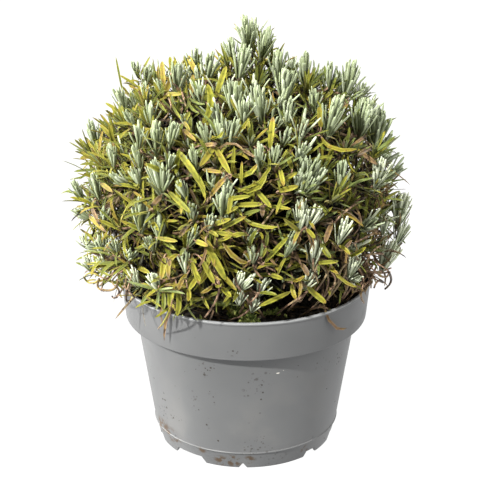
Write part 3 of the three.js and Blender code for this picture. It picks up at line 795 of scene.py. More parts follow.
def about(axis, angle):
    """A unit direction square to an axis, at an angle round it."""
    return Quaternion(axis, angle) @ axis.orthogonal().normalized()


def leaning(axis, out, tilt):
    """A leaf's heading when it leans out from an axis, and its upper direction."""
    heading = axis * math.cos(tilt) + out * math.sin(tilt)
    return heading, axis * math.sin(tilt) - out * math.cos(tilt)


# How far a brush of size 1 reaches beyond its foot, and the ages of its leaves.
BRUSH_REACH = 16.6 * MM
BRUSH_AGES = (0.03, 0.1)
# How old leaves under a tuft spread, in degrees from its axis.
SKIRT_TILTS = (32, 84)


def brush(rng, apex, axis, size, count, ages=BRUSH_AGES, least=0.0):
    """The young leaves at a twig's end: nearly parallel, like the hairs of a shaving brush."""
    leaves = []
    for index in range(count):
        share = (index + 0.5) / count
        out = about(axis, index * GOLDEN_ANGLE + rng.uniform(-0.35, 0.35))
        heading, face = leaning(axis, out, (1 + 22 * share + rng.uniform(-2, 4)) * DEG)
        root = apex + (out * 0.6 - axis * 6 * share * size) * MM
        leaves.append(Leaf(
            root, heading, face, size * rng.uniform(15, 19.5) * MM,
            size**0.5 * rng.uniform(1.85, 2.4) * MM, rng.uniform(*ages), tint=rng.random(),
            bend=rng.uniform(-4, 12) * DEG, sweep=rng.uniform(-9, 9) * DEG,
            twist=rng.uniform(-25, 25) * DEG, least=least,
        ))
    return leaves


def old_age(rng, place):
    """The age of a leaf that has opened wide: green, yellow or dry."""
    yellow, dry = ageing(place)
    lot = rng.random()
    if lot < dry * 0.6:
        return rng.uniform(0.82, 0.95)
    if lot < yellow:
        return rng.uniform(0.36, 0.66)
    return rng.uniform(0.16, 0.34)


def skirt(rng, apex, axis, size, count, drop=(3, 16), tilts=SKIRT_TILTS):
    """The older leaves under a tuft, which spread wide, arch over and turn yellow and brown."""
    leaves = []
    for index in range(count):
        share = (index + 0.5) / count
        out = about(axis, index * GOLDEN_ANGLE + 1.3 + rng.uniform(-0.5, 0.5))
        tilt = tilts[0] + (tilts[1] - tilts[0]) * share + rng.uniform(-12, 14)
        heading, face = leaning(axis, out, tilt * DEG)
        root = apex - axis * (drop[0] + (drop[1] - drop[0]) * share) * MM
        yellow, dry = ageing(root)
        lot = rng.random() + 0.25 * (share - 0.5)
        if lot > 1 - dry:
            age, width, bend = rng.uniform(0.8, 0.96), rng.uniform(1.1, 2.1), rng.uniform(-190, 80)
        elif lot > (1 - dry) * (1 - yellow):
            age, width, bend = rng.uniform(0.3, 0.72), rng.uniform(1.4, 2.8), rng.uniform(-105, -8)
        else:
            age, width, bend = rng.uniform(0.2, 0.38), rng.uniform(1.5, 2.4), rng.uniform(-46, 14)
        length = size * (14.5 + 2.6 * width + rng.uniform(-2, 9)) * MM
        leaves.append(Leaf(
            root, heading, face, kept_in(root, heading, length, rng.uniform(-3, 3) * MM),
            width * MM, age, tint=rng.random(), bend=bend * DEG,
            sweep=rng.uniform(-50, 50) * DEG, twist=rng.uniform(-50, 50) * DEG,
            thickness=0.8 if age < 0.3 else 0.5,
        ))
    return clear_of_pot(leaves)


def loose_leaf(rng, root, heading, face, length, widths, ages, bends, sweep, twist, thickness):
    """A leaf that is drawn at random between widths, ages and turns."""
    return Leaf(
        root, heading, face, length, rng.uniform(*widths) * MM, rng.uniform(*ages),
        tint=rng.random(), bend=rng.uniform(*bends) * DEG, sweep=rng.uniform(-sweep, sweep) * DEG,
        twist=rng.uniform(-twist, twist) * DEG, thickness=thickness,
    )


# Finishes. Groups hold the effects that several materials share.


def colour(red, green, blue):
    """A colour in the photograph's values, 0 to 255, as Blender's linear one."""
    linear = [
        value / 12.92 if value <= 0.04045 else ((value + 0.055) / 1.055) ** 2.4
        for value in (red / 255, green / 255, blue / 255)
    ]
    return (*linear, 1)


def node(tree, kind, inputs=None, **settings):
    """Adds a shader node. Each input is a number, a colour or another node's output."""
    made = tree.nodes.new("ShaderNode" + kind)
    for key, value in settings.items():
        setattr(made, key, value)
    for key, value in (inputs or {}).items():
        if isinstance(value, bpy.types.NodeSocket):
            tree.links.new(value, made.inputs[key])
        else:
            made.inputs[key].default_value = value
    return made


def maths(tree, operation, *values, clamp=False):
    """One operation of a Math node."""
    made = node(tree, "Math", dict(enumerate(values)), operation=operation, use_clamp=clamp)
    return made.outputs[0]


def product(tree, first, *others):
    """Values multiplied by one another."""
    for other in others:
        first = maths(tree, "MULTIPLY", first, other)
    return first


def total(tree, first, *others):
    """Values added to one another."""
    for other in others:
        first = maths(tree, "ADD", first, other)
    return first


def eased(tree, value, start, end, low=0.0, high=1.0):
    """A value's smooth step from start to end, as a number from low to high."""
    sockets = {"Value": value, "From Min": start, "From Max": end, "To Min": low, "To Max": high}
    return node(tree, "MapRange", sockets, interpolation_type="SMOOTHSTEP").outputs[0]


def mixed(tree, factor, first, second, blend="MIX"):
    """Two colours mixed by a factor."""
    sockets = {0: factor, 6: first, 7: second}
    return node(tree, "Mix", sockets, data_type="RGBA", blend_type=blend).outputs[2]


def coated(tree, base, *coats):
    """A colour under coats of others, each a mask and a colour."""
    base = colour(*base)
    for mask, shade in coats:
        base = mixed(tree, mask, base, colour(*shade))
    return base


def shaded(tree, base, light, blue):
    """A colour darkened by one value, and by another in its blue: the painted shade of leaves and
    bark.
    """
    shade = node(tree, "CombineColor", {0: light, 1: light, 2: blue}).outputs[0]
    return mixed(tree, 1.0, base, shade, "MULTIPLY")


def fine_noise(tree, vector, scale, detail=2.0):
    """A noise from 0 to 1."""
    return node(tree, "TexNoise", {"Vector": vector, "Scale": scale, "Detail": detail}).outputs[0]


def group(name, inputs, outputs):
    """A node group's tree, the outputs of its input node and the inputs of its output node."""
    tree = bpy.data.node_groups.new(name, "ShaderNodeTree")
    for side, keys in (("INPUT", inputs), ("OUTPUT", outputs)):
        for key in keys:
            kind = key if key in ("Vector", "Color") else "Float"
            tree.interface.new_socket(key, in_out=side, socket_type="NodeSocket" + kind)
    start = tree.nodes.new("NodeGroupInput")
    end = tree.nodes.new("NodeGroupOutput")
    return tree, start.outputs, end.inputs


def use(tree, used, **inputs):
    """Places a node group with its own values."""
    made = tree.nodes.new("ShaderNodeGroup")
    made.node_tree = used
    for key, value in inputs.items():
        socket = made.inputs[key.capitalize()]
        if isinstance(value, bpy.types.NodeSocket):
            tree.links.new(value, socket)
        else:
            socket.default_value = value
    return made.outputs


def make_patches():
    """Soft-edged blotches where a noise is over a threshold."""
    tree, given, result = group("patches", ("Vector", "Scale", "Start", "End"), ("Mask",))
    cloud = fine_noise(tree, given["Vector"], given["Scale"], 3)
    mask = eased(tree, cloud, given["Start"], given["End"])
    tree.links.new(mask, result["Mask"])
    return tree


def make_specks():
    """Small round specks, one in some of the cells of a grid that has no rows."""
    tree, given, result = group("specks", ("Vector", "Scale", "Size", "Share"), ("Mask",))
    cells = node(tree, "TexVoronoi", {"Vector": given["Vector"], "Scale": given["Scale"]})
    lot = node(tree, "SeparateColor", {0: cells.outputs["Color"]})
    present = maths(tree, "LESS_THAN", lot.outputs[0], given["Share"])
    size = product(tree, given["Size"], total(tree, lot.outputs[1], 0.3))
    near = eased(tree, cells.outputs["Distance"], size, product(tree, size, 0.6))
    tree.links.new(product(tree, near, present), result["Mask"])
    return tree


# A leaf's colour from young and felted to dead, by its age from 0 to 1.
LEAF_AGES = [
    (0.0, colour(222, 229, 208)),
    (0.05, colour(168, 179, 152)),
    (0.14, colour(131, 144, 93)),
    (0.26, colour(96, 108, 42)),
    (0.4, colour(115, 118, 38)),
    (0.55, colour(144, 141, 46)),
    (0.7, colour(144, 124, 49)),
    (0.82, colour(128, 103, 70)),
    (0.92, colour(106, 84, 66)),
    (1.0, colour(44, 34, 24)),
]


def make_leaf_tone_and_painted_shade():
    """A leaf's colour from its age, with a brown tip on some leaves, and painted shade: darker inside
    the bush and towards the leaf's base, darker along the groove of old leaves and at the rolled
    edges of young ones, and with less blue where darker. Also the height of its felt and ridges."""
    tree, given, result = group(
        "leaf_tone_and_painted_shade", ("Vector", "Age", "Tint", "Along", "Across", "Openness"), ("Color", "Height")
    )
    age, tint, along = given["Age"], given["Tint"], given["Along"]
    old = eased(tree, age, 0.12, 0.4)
    cloud = maths(tree, "SUBTRACT", fine_noise(tree, given["Vector"], 260), 0.5)
    spread = product(tree, cloud, 0.4, total(tree, old, 0.25))
    tip = product(
        tree, eased(tree, along, 0.68, 1.02), old, eased(tree, tint, 0.7, 0.9), 0.28,
    )
    green = product(tree, eased(tree, along, 0.75, 0.1), eased(tree, age, 0.3, 0.1, 0, 0.06))
    turned_age = maths(tree, "ADD", age, total(tree, spread, green, tip), clamp=True)
    ramp = node(tree, "ValToRGB", {0: turned_age})
    stops = ramp.color_ramp.elements
    while len(stops) < len(LEAF_AGES):
        stops.new(0.5)
    for stop, (place, shade) in zip(stops, LEAF_AGES):
        stop.position = place
        stop.color = shade
    # Painted shade across the leaf: old leaves darker along the middle groove, young ones darker at
    # their rolled edges. The same margin also gives the ridges' relief.
    side = maths(tree, "ABSOLUTE", given["Across"])
    ridged = product(tree, old, eased(tree, side, 0, 0.75, 0.72, 1.08))
    felted = product(tree, maths(tree, "SUBTRACT", 1, old), eased(tree, side, 0.4, 1, 1, 0.66))
    margin = total(tree, ridged, felted)
    varied = total(tree, product(tree, tint, 0.2), 0.67)
    # Painted shade: darker towards the leaf's base, deep in its tuft.
    base = eased(tree, along, 0, 0.5, 0.68, 1)
    # Painted shade: darker the further the leaf lies inside the bush.
    depth = eased(tree, given["Openness"], 0.36, 1, 0.012, 1)
    # Each leaf's own random lightness times its painted shade.
    light = product(tree, margin, varied, base, depth)
    # Painted shade loses blue faster than red and green, most on old leaves that are not yet dead.
    bleached = eased(tree, age, 0.8, 0.88, 0.5, 0)
    painted_shade_blue = maths(tree, "POWER", light, maths(tree, "MULTIPLY_ADD", old, bleached, 1.25))
    tree.links.new(shaded(tree, ramp.outputs[0], light, painted_shade_blue), result["Color"])
    felt = fine_noise(tree, given["Vector"], 2400, 1)
    height = total(tree, product(tree, margin, 0.8), product(tree, felt, 0.5))
    tree.links.new(height, result["Height"])
    return tree


PATCHES = make_patches()
SPECKS = make_specks()
LEAF_TONE_AND_PAINTED_SHADE = make_leaf_tone_and_painted_shade()


def patchy(tree, vector, scale, start, end):
    """The blotches' mask."""
    return use(tree, PATCHES, vector=vector, scale=scale, start=start, end=end)["Mask"]


def specked(tree, vector, scale, size, share):
    """The specks' mask."""
    return use(tree, SPECKS, vector=vector, scale=scale, size=size, share=share)["Mask"]


def material(name, flat):
    """A new material, its tree, its Principled shader and its object coordinates. What is the
    same all over the surface is set on the shader."""
    made = bpy.data.materials.new(name)
    made.use_nodes = True
    tree = made.node_tree
    shader = tree.nodes["Principled BSDF"]
    for key, value in flat.items():
        shader.inputs[key].default_value = value
    place = node(tree, "TexCoord").outputs["Object"]
    return made, tree, shader, place


def feed(tree, shader, shade, height, strength, distance):
    """Gives a shader its colour and the relief of a height."""
    bump = node(tree, "Bump", {"Height": height, "Strength": strength, "Distance": distance})
    tree.links.new(shade, shader.inputs["Base Color"])
    tree.links.new(bump.outputs[0], shader.inputs["Normal"])


def reading(tree, name):
    """What a mesh's own attribute says."""
    return node(tree, "Attribute", attribute_name=name).outputs["Fac"]


def make_leaf_finish(name, roughness, sheen, sheen_roughness, glow):
    """A leaf's finish, with brown spots on old leaves, painted shade and light that shines through its
    flesh.
    """
    made, tree, shader, place = material(name, {
        "Roughness": roughness, "Sheen Weight": sheen, "Sheen Roughness": sheen_roughness,
        "Specular IOR Level": 0.22, "Subsurface Weight": glow, "Subsurface Radius": (1, 1, 0.8),
        "Subsurface Scale": 0.9 * MM,
    })
    read = {key: reading(tree, key) for key in ("age", "tint", "along", "across", "openness")}
    tone_and_painted_shade = use(tree, LEAF_TONE_AND_PAINTED_SHADE, vector=place, **read)
    spots = specked(tree, place, 150, 0.13, 0.3)
    spots = product(tree, spots, eased(tree, read["age"], 0.3, 0.5, 0, 0.7))
    spotted = mixed(tree, spots, tone_and_painted_shade["Color"], colour(74, 52, 30))
    feed(tree, shader, spotted, tone_and_painted_shade["Height"], 0.5, 0.25 * MM)
    return made


def make_bark():
    """Brown bark that is worn in streaks, green in places and painted darker inside the bush, as
    shade.
    """
    made, tree, shader, place = material("brown_bark", {"Roughness": 0.85})
    streak = node(tree, "Mapping", {"Vector": place, "Scale": (1, 1, 0.25)}).outputs[0]
    worn = patchy(tree, streak, 420, 0.42, 0.62)
    green = product(tree, patchy(tree, place, 60, 0.5, 0.62), 0.4)
    bark = coated(tree, (94, 71, 54), (worn, (156, 128, 102)), (green, (104, 104, 62)))
    # Painted shade: darker the further the bark lies inside the bush.
    depth = eased(tree, reading(tree, "openness"), 0, 0.8, 0.08, 1)
    bark = shaded(tree, bark, depth, depth)
    feed(tree, shader, bark, fine_noise(tree, streak, 900, 3), 0.6, 0.4 * MM)
    return made


# Where mud clings to the foot, where the wall is scuffed and where soil has splashed on it:
# (angle, radius, height, reach) on the pot, in degrees and millimetres.
MUDDY_PLACES = [
    (-52, 70, 13, 11), (-60, 72, 20, 7), (-8, 69, 6, 8), (2, 69, 8, 5), (-28, 71, 12, 4),
    (-66, 72, 16, 9), (-16, 68, 5, 7), (40, 69, 8, 5),
]
SCUFF = (17, 82, 86, 6)
SPLASHES = [
    (-20, 83, 86, 10), (-18, 80, 62, 7), (-29, 79, 50, 6), (-24, 77, 37, 6), (-66, 81, 62, 9),
    (59, 82, 80, 8), (43, 83, 85, 5), (-6, 93, 109, 5), (-60, 76, 30, 9),
]


def near_place(tree, place, angle, radius, height, reach):
    """A soft mask round a place on the pot."""
    spot = tuple(on_pot(angle, radius, height))
    away = node(tree, "VectorMath", {0: place, 1: spot}, operation="DISTANCE").outputs[1]
    return eased(tree, away, reach * MM, reach * 0.4 * MM)


def make_plastic():
    """Grey moulded plastic with splashed soil, specks, scratches and a dirty foot, with a painted
    highlight on its rim and painted shade under its band.
    """
    made, tree, shader, place = material("grey_plastic", {"Specular IOR Level": 0.24})
    sideways, _, height = node(tree, "SeparateXYZ", {0: place}).outputs
    cloud = patchy(tree, place, 14, 0.35, 0.65)
    # Painted highlight: the top of the rim is lighter.
    rim_painted_highlight = eased(tree, height, (RIM_TOP - 1.6) * MM, (RIM_TOP - 0.4) * MM, 0, 0.55)
    # Painted shade: the wall is darker over the 4 mm under the band, up to the band's underside.
    under = maths(tree, "LESS_THAN", height, (BAND_BOTTOM + 0.2) * MM)
    painted_band_shade = eased(tree, height, (BAND_BOTTOM - 4) * MM, BAND_BOTTOM * MM, 0, 0.5)
    dusty = patchy(tree, place, 30, 0.52, 0.7)
    low = eased(tree, height, 105 * MM, 20 * MM, 0.02, 0.08)

    below_band = eased(tree, height, (BAND_BOTTOM + 3) * MM, (BAND_BOTTOM - 4) * MM, 0.15, 1)
    left = eased(tree, sideways, 50 * MM, -30 * MM, 0.3, 1)
    splashed = product(tree, patchy(tree, place, 38, 0.56, 0.66), left, below_band)
    for spot in SPLASHES:
        splashed = maths(tree, "MAXIMUM", splashed, near_place(tree, place, *spot))
    grains = specked(tree, place, 170, 0.24, 0.8)
    dots = specked(tree, place, 380, 0.34, 0.9)
    dirt = product(tree, maths(tree, "MAXIMUM", grains, dots), splashed)
    lone = product(tree, specked(tree, place, 125, 0.1, 0.5), below_band)
    dirt = maths(tree, "MAXIMUM", dirt, lone)

    smear = patchy(tree, place, 210, 0.46, 0.56)
    muddy = [product(tree, smear, near_place(tree, place, *spot)) for spot in MUDDY_PLACES]
    slant = node(tree, "Mapping", {
        "Vector": place, "Rotation": (0, 40 * DEG, 0), "Scale": (0.2, 1, 1),
    }).outputs[0]
    scratch = specked(tree, slant, 520, 0.3, 0.8)
    scratch = product(tree, scratch, near_place(tree, place, *SCUFF), 0.8)
    grey = coated(
        tree, (82, 83, 84), (cloud, (88, 89, 90)), (rim_painted_highlight, (142, 144, 145)),
        (product(tree, painted_band_shade, under), (60, 60, 60)),
        (product(tree, dusty, low), (136, 131, 123)),
        (product(tree, dirt, 0.9), (44, 38, 33)),
        *[(mud, (66, 54, 42)) for mud in muddy],
        (scratch, (214, 210, 200)),
    )

    dull = maths(tree, "MAXIMUM", product(tree, dusty, 0.4), dirt)
    tree.links.new(eased(tree, dull, 0, 1, 0.42, 0.75), shader.inputs["Roughness"])
    grain = product(tree, fine_noise(tree, place, 1500, 1), 0.05)
    wavy = product(tree, fine_noise(tree, place, 22, 1), 0.9)
    relief = total(tree, grain, wavy, product(tree, dirt, 0.3))
    feed(tree, shader, grey, relief, 0.5, 0.6 * MM)
    return made


def make_compost():
    """Dark fibrous compost with damp patches."""
    made, tree, shader, place = material("dark_compost", {"Roughness": 0.95})
    fibre = patchy(tree, place, 330, 0.45, 0.62)
    damp = product(tree, patchy(tree, place, 40, 0.4, 0.6), 0.5)
    brown = coated(tree, (26, 20, 12), (fibre, (60, 47, 30)), (damp, (18, 14, 8)))
    feed(tree, shader, brown, fine_noise(tree, place, 700, 4), 0.9, 1.2 * MM)
    return made


def make_moss():
    """Green moss, yellower in dry patches and pale at some tips."""
    made, tree, shader, place = material("green_moss", {"Roughness": 0.8})
    dry = patchy(tree, place, 120, 0.42, 0.6)
    young = eased(tree, reading(tree, "tint"), 0.4, 1)
    green = coated(tree, (86, 106, 42), (dry, (144, 150, 74)), (young, (162, 174, 96)))
    feed(tree, shader, green, fine_noise(tree, place, 1800, 2), 0.5, 0.3 * MM)
    return made


SILVER = make_leaf_finish("silver_felt", 0.75, 0.12, 0.5, 0.14)
YELLOW = make_leaf_finish("yellow_blade", 0.52, 0.08, 0.4, 0.3)
DRY = make_leaf_finish("dry_curl", 0.8, 0.05, 0.5, 0.0)
BARK = make_bark()
FINISHES = {"silver": SILVER, "yellow": YELLOW, "dry": DRY}


# The pot and what lies in it.


def wedge(bm, outline, angle):
    """A cutter through the foot's skirt with a (sideways, height) outline, at an angle from the
    front."""
    verts = [bm.verts.new((side * MM, -FOOT_CUT_INSIDE * MM, up * MM)) for side, up in outline]
    face = bm.faces.new(verts)
    out = bmesh.ops.extrude_face_region(bm, geom=[face])["geom"]
    moved = [item for item in out if isinstance(item, bmesh.types.BMVert)]
    bmesh.ops.translate(bm, vec=(0, (FOOT_CUT_INSIDE - FOOT_CUT_OUTSIDE) * MM, 0), verts=moved)
    bmesh.ops.rotate(
        bm, cent=(0, 0, 0), matrix=Matrix.Rotation(angle * DEG, 3, "Z"), verts=verts + moved
    )


def make_pot():
    """One moulded pot: turned, then cut by the foot's slots and the floor's drain holes."""
    body = mesh_of(turned(rounded(POT_OUTLINE), POT_STEPS), "pot_body")
    cutters = bmesh.new()
    for repeat in range(FOOT_CUT_REPEATS):
        for angle, bottom, top, height in FOOT_CUTS:
            low, high = bottom / 2, top / 2
            outline = [(-low, FOOT_CUT_BELOW), (low, FOOT_CUT_BELOW), (low, 0), (high, height),
                       (-high, height), (-low, 0)]
            wedge(cutters, outline, angle + repeat * 360 / FOOT_CUT_REPEATS)
    for hole in range(DRAIN_HOLES):
        angle = (hole * 360 / DRAIN_HOLES + DRAIN_HOLE_ANGLE - 90) * DEG
        ring = Vector((math.cos(angle), math.sin(angle), 0)) * DRAIN_HOLE_RING
        bmesh.ops.create_cone(
            cutters, cap_ends=True, segments=DRAIN_HOLE_STEPS, radius1=DRAIN_HOLE_RADIUS * MM,
            radius2=DRAIN_HOLE_RADIUS * MM, depth=DRAIN_HOLE_DEPTH * MM,
            matrix=Matrix.Translation((ring + UP * POT_OUTLINE[0][1]) * MM),
        )
    bmesh.ops.recalc_face_normals(cutters, faces=cutters.faces)
    cutter = shown("cutter", mesh_of(cutters, "cutter"))
    uncut = shown("uncut", body)
    cut = uncut.modifiers.new("cut", "BOOLEAN")
    cut.object = cutter
    cut.operation = "DIFFERENCE"
    cut.solver = "EXACT"
    mesh = bpy.data.meshes.new_from_object(
        uncut.evaluated_get(bpy.context.evaluated_depsgraph_get())
    )
    for thing in (cutter, uncut):
        bpy.data.objects.remove(thing)
    mesh.transform(Matrix.Translation(AXIS))
    mesh.shade_smooth()
    mesh.set_sharp_from_angle(angle=POT_SHARP_EDGE)
    mesh.materials.clear()
    return piece("grower_pot", mesh, [make_plastic()], ["pot"])


def soil_top(radius):
    """The compost's height at a distance from the pot's axis, both in millimetres."""
    share = (SOIL_EDGE_RADIUS - radius) / (SOIL_EDGE_RADIUS - SOIL_MIDDLE_RADIUS)
    return SOIL_EDGE_TOP + (SOIL_MIDDLE_TOP - SOIL_EDGE_TOP) * max(0.0, min(1.0, share))


def lumpiness(place):
    """How far the compost's surface rises or falls at a place, in metres."""
    broad = noise.noise(place * 70) * 1.6
    crumbly = noise.noise(place * 330) * 0.9
    return (broad + crumbly) * MM


def on_soil(radius, angle):
    """A place on the compost's middle surface, from the pot's axis, in metres."""
    return Vector((radius * math.cos(angle), radius * math.sin(angle), soil_top(radius))) * MM


def make_soil(compost):
    """The compost in the pot, with a lumpy surface."""
    rings = [(radius, soil_top(radius)) for radius in range(int(SOIL_EDGE_RADIUS), 0, -2)]
    outline = SOIL_OUTLINE + rings + [(0, SOIL_MIDDLE_TOP)]
    bm = turned([Vector(point) for point in outline], SOIL_STEPS)
    for vert in bm.verts:
        on_top = vert.co.z > (SOIL_EDGE_TOP - 1) * MM
        if on_top and vert.co.xy.length < (SOIL_EDGE_RADIUS - 0.1) * MM:
            vert.co.z += lumpiness(vert.co)
    bmesh.ops.translate(bm, vec=AXIS, verts=bm.verts)
    mesh = mesh_of(bm, "compost")
    mesh.shade_smooth()
    piece("compost", mesh, [compost], ["soil"])


def make_crumbs(compost):
    """Loose crumbs on the compost."""
    rng = random.Random("crumbs")
    bm = bmesh.new()
    for _ in range(CRUMBS):
        radius = (SOIL_EDGE_RADIUS - 2) * math.sqrt(rng.random())
        spot = on_soil(radius, rng.uniform(0, math.tau))
        size = rng.uniform(0.7, 2.6)
        spot.z += lumpiness(spot) + size * 0.2 * MM
        squash = (rng.uniform(0.6, 1.5), rng.uniform(0.5, 1), rng.uniform(0.4, 0.9), 1)
        turn = Quaternion(scattered(rng, 1), rng.uniform(0, 3)).to_matrix().to_4x4()
        bmesh.ops.create_icosphere(
            bm, subdivisions=1, radius=size * MM,
            matrix=Matrix.Translation(AXIS + spot) @ turn @ Matrix.Diagonal(squash),
        )
    piece("compost_crumbs", mesh_of(bm, "crumbs"), [compost])


def make_moss_cushions():
    """Tufts of moss on the compost, most of them inside the rim at the front."""
    rng = random.Random("moss")
    leaves = []
    for index in range(MOSS_TIPS):
        at_front = index % 4 > 0
        angle = (rng.gauss(-98, 17) if at_front else rng.uniform(0, 360)) * DEG
        spot = on_soil(rng.uniform(26, 88) if at_front else rng.uniform(40, 90), angle)
        if noise.noise(spot * 55) < MOSS_CLUMPS:
            continue
        mound = 2.6 + 4.5 * noise.noise(spot * 90)
        spot.z += lumpiness(spot) + max(0.0, mound) * MM
        up = Vector((rng.uniform(-0.5, 0.5), rng.uniform(-0.5, 0.5), 1)).normalized()
        tint = rng.random()
        weed = 1.7 if at_front and index % 3 == 0 else 1
        for leaf in range(6):
            out = about(up, leaf * GOLDEN_ANGLE + tint * 6)
            heading, face = leaning(up, out, rng.uniform(25, 80) * DEG)
            leaves.append(Leaf(
                AXIS + spot, heading, face, weed * rng.uniform(2, 3.8) * MM,
                weed * rng.uniform(0.9, 1.7) * MM, 0.3, tint=tint, bend=rng.uniform(0, 50) * DEG,
            ))
    piece("moss_cushions", grown("moss", BLADE, leaves), [make_moss()])


# The bush's shoots.

# Packed leaves by kind: their widths in millimetres and how thick they are for their width.
PACKED_WIDTHS = {"silver": (2, 2.5), "yellow": (2.2, 3.8), "dry": (1.5, 2.5)}
PACKED_THICKNESS = {"silver": 1, "yellow": 0.5, "dry": 0.6}
# The ages of leaves that hang over the rim.
WITHERED = (0.86, 0.95)
# A packed tuft gives way to one of the photograph's that is nearer than this.
CROWDED = 10 * MM
# Young growth starts from wood above this height.
LOWEST_START = 125 * MM


def hangs_over(tip):
    """Whether a leaf's tip hangs low outside the pot's rim."""
    return tip.z < (RIM_TOP + 10) * MM and (tip - AXIS).xy.length > 92 * MM


def place_seen_tufts():
    """The photograph's tufts as (foot, direction, length) on the outline of the bush."""
    placed = []
    for foot_x, foot_y, tip_x, tip_y in PHOTO_TUFTS:
        foot = seen_at((foot_x, foot_y), TUFT_INSET)
        sight = photo_sight(tip_x, tip_y)
        nearest = EYE + sight * (foot - EYE).dot(sight)
        aside = (nearest - foot).length
        length = max(TUFT_LENGTH, aside * TUFT_LEAN)
        tip = nearest - sight * math.sqrt(max(0.0, length**2 - aside**2))
        placed.append((foot, (tip - foot).normalized(), length))
    return placed


SEEN_TUFTS = place_seen_tufts()


def packed_leaf(rng, kind, leaf, axis, young):
    """A fine leaf on one of a shoot's packed leaves, withered where it hangs over the rim."""
    if kind == "silver":
        age = rng.uniform(0, 0.09) if young else old_age(rng, leaf[0])
    elif kind == "yellow":
        age = rng.uniform(0.83, 0.96) if rng.random() < 0.1 else rng.uniform(0.3, 0.62)
    else:
        age = rng.uniform(0.82, 0.97)
    width = rng.uniform(*PACKED_WIDTHS[kind]) * MM
    if kind != "dry" and hangs_over(leaf[2]):
        age, width = rng.uniform(*WITHERED), 0.6 * width
    return leaf_along(leaf, axis, width, age, rng, PACKED_THICKNESS[kind])


def make_shoot(name):
    """Dresses one packed shoot: fine leaves on its leaves' own middle lines, and more of them."""
    rng = random.Random(name)
    kind, _, number = name.partition("_shoot_")
    bare, packed = bare_and_leaves(name)
    leaves = []
    tufts = tufts_of(packed)
    for tuft in tufts:
        apex, axis = tuft.apex, tuft.axis
        crowded = any((apex - other).length < CROWDED for other, _, _ in SEEN_TUFTS)
        fading = not crowded and rng.random() < 1.05 * ageing(apex)[0]
        fullness = (0.6 if apex.z < SPARSE_BUSH else 1) * (1 - 0.75 * thinness(apex))
        for leaf in tuft.leaves:
            tilt = (leaf[2] - leaf[0]).angle(axis)
            young = tilt < (20 if crowded else 33) * DEG and not fading
            leaves.append(packed_leaf(rng, kind, leaf, axis, young))
        if kind == "silver" and crowded:
            leaves += skirt(rng, apex, axis, 1, 7)
        elif kind == "silver" and fading:
            leaves += brush(rng, apex, axis, rng.uniform(0.9, 1.1), 4, (0.16, 0.5))
            leaves += skirt(rng, apex, axis, 1.05, round(11 * fullness), tilts=(16, 80))
        elif kind == "silver":
            leaves += brush(rng, apex, axis, rng.uniform(0.92, 1.08), 10)
            leaves += skirt(rng, apex, axis, 1, round(9 * fullness))
        elif kind == "yellow":
            leaves += brush(rng, apex, axis, rng.uniform(0.6, 0.85), round(5 * fullness))
            leaves += skirt(rng, apex, axis, 1.05, round(5 * fullness))
        else:
            leaves += brush(rng, apex, axis, rng.uniform(0.5, 0.7), 4)
            leaves += skirt(rng, apex, axis, 0.9, 7)
    fine = foliage("leaves", leaves)
    mesh = joined("spray", fine + [mesh_of(bare, "bare")], [0] * len(fine) + [1])
    piece(f"{kind}_spray_{number}", mesh, [FINISHES[kind], BARK], [name])
    return tufts


def stem_points():
    """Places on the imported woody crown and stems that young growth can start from."""
    places = []
    for name in sorted(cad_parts):
        if name == "woody_crown" or "_shoot_" in name:
            bm = bare_and_leaves(name)[0]
            places += [vert.co.copy() for vert in bm.verts if vert.co.z > LOWEST_START]
            bm.free()
    return places


def make_crown():
    """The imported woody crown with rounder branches."""
    bm = merged("woody_crown")
    bmesh.ops.subdivide_edges(bm, edges=bm.edges, cuts=1, smooth=0.7)
    # Each corner's openness sets the bark's painted shade.
    layer = bm.verts.layers.float.new("openness")
    for vert in bm.verts:
        vert[layer] = openness(vert.co)
    mesh = mesh_of(bm, "crown")
    mesh.shade_smooth()
    piece("woody_branches", mesh, [BARK], ["woody_crown"])


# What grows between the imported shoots.

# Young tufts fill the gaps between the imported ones.
FILL_TRIES = 420
FILL_SPACING = 15 * MM
FILL_INSET = 17 * MM
# Stems start from wood that is no further off than this and lies this much deeper in the bush.
STEM_REACH = 60 * MM
STEM_RISE = 9 * MM
# The widths of the stems that carry tufts, single leaves, brown stems and curls, and of a brown
# stem's start and end.
TUFT_STEM = 1.7 * MM
LEAF_STEM = 1.1 * MM
TWIG_STEM = 1.4 * MM
CURL_STEM = 1 * MM
TWIG_WIDTHS = (1.7 * MM, 1.3 * MM)
# Curls that are nearer than this go on from one another.
CURL_LINK = 2 * MM
YOUNG_PIECES = 3


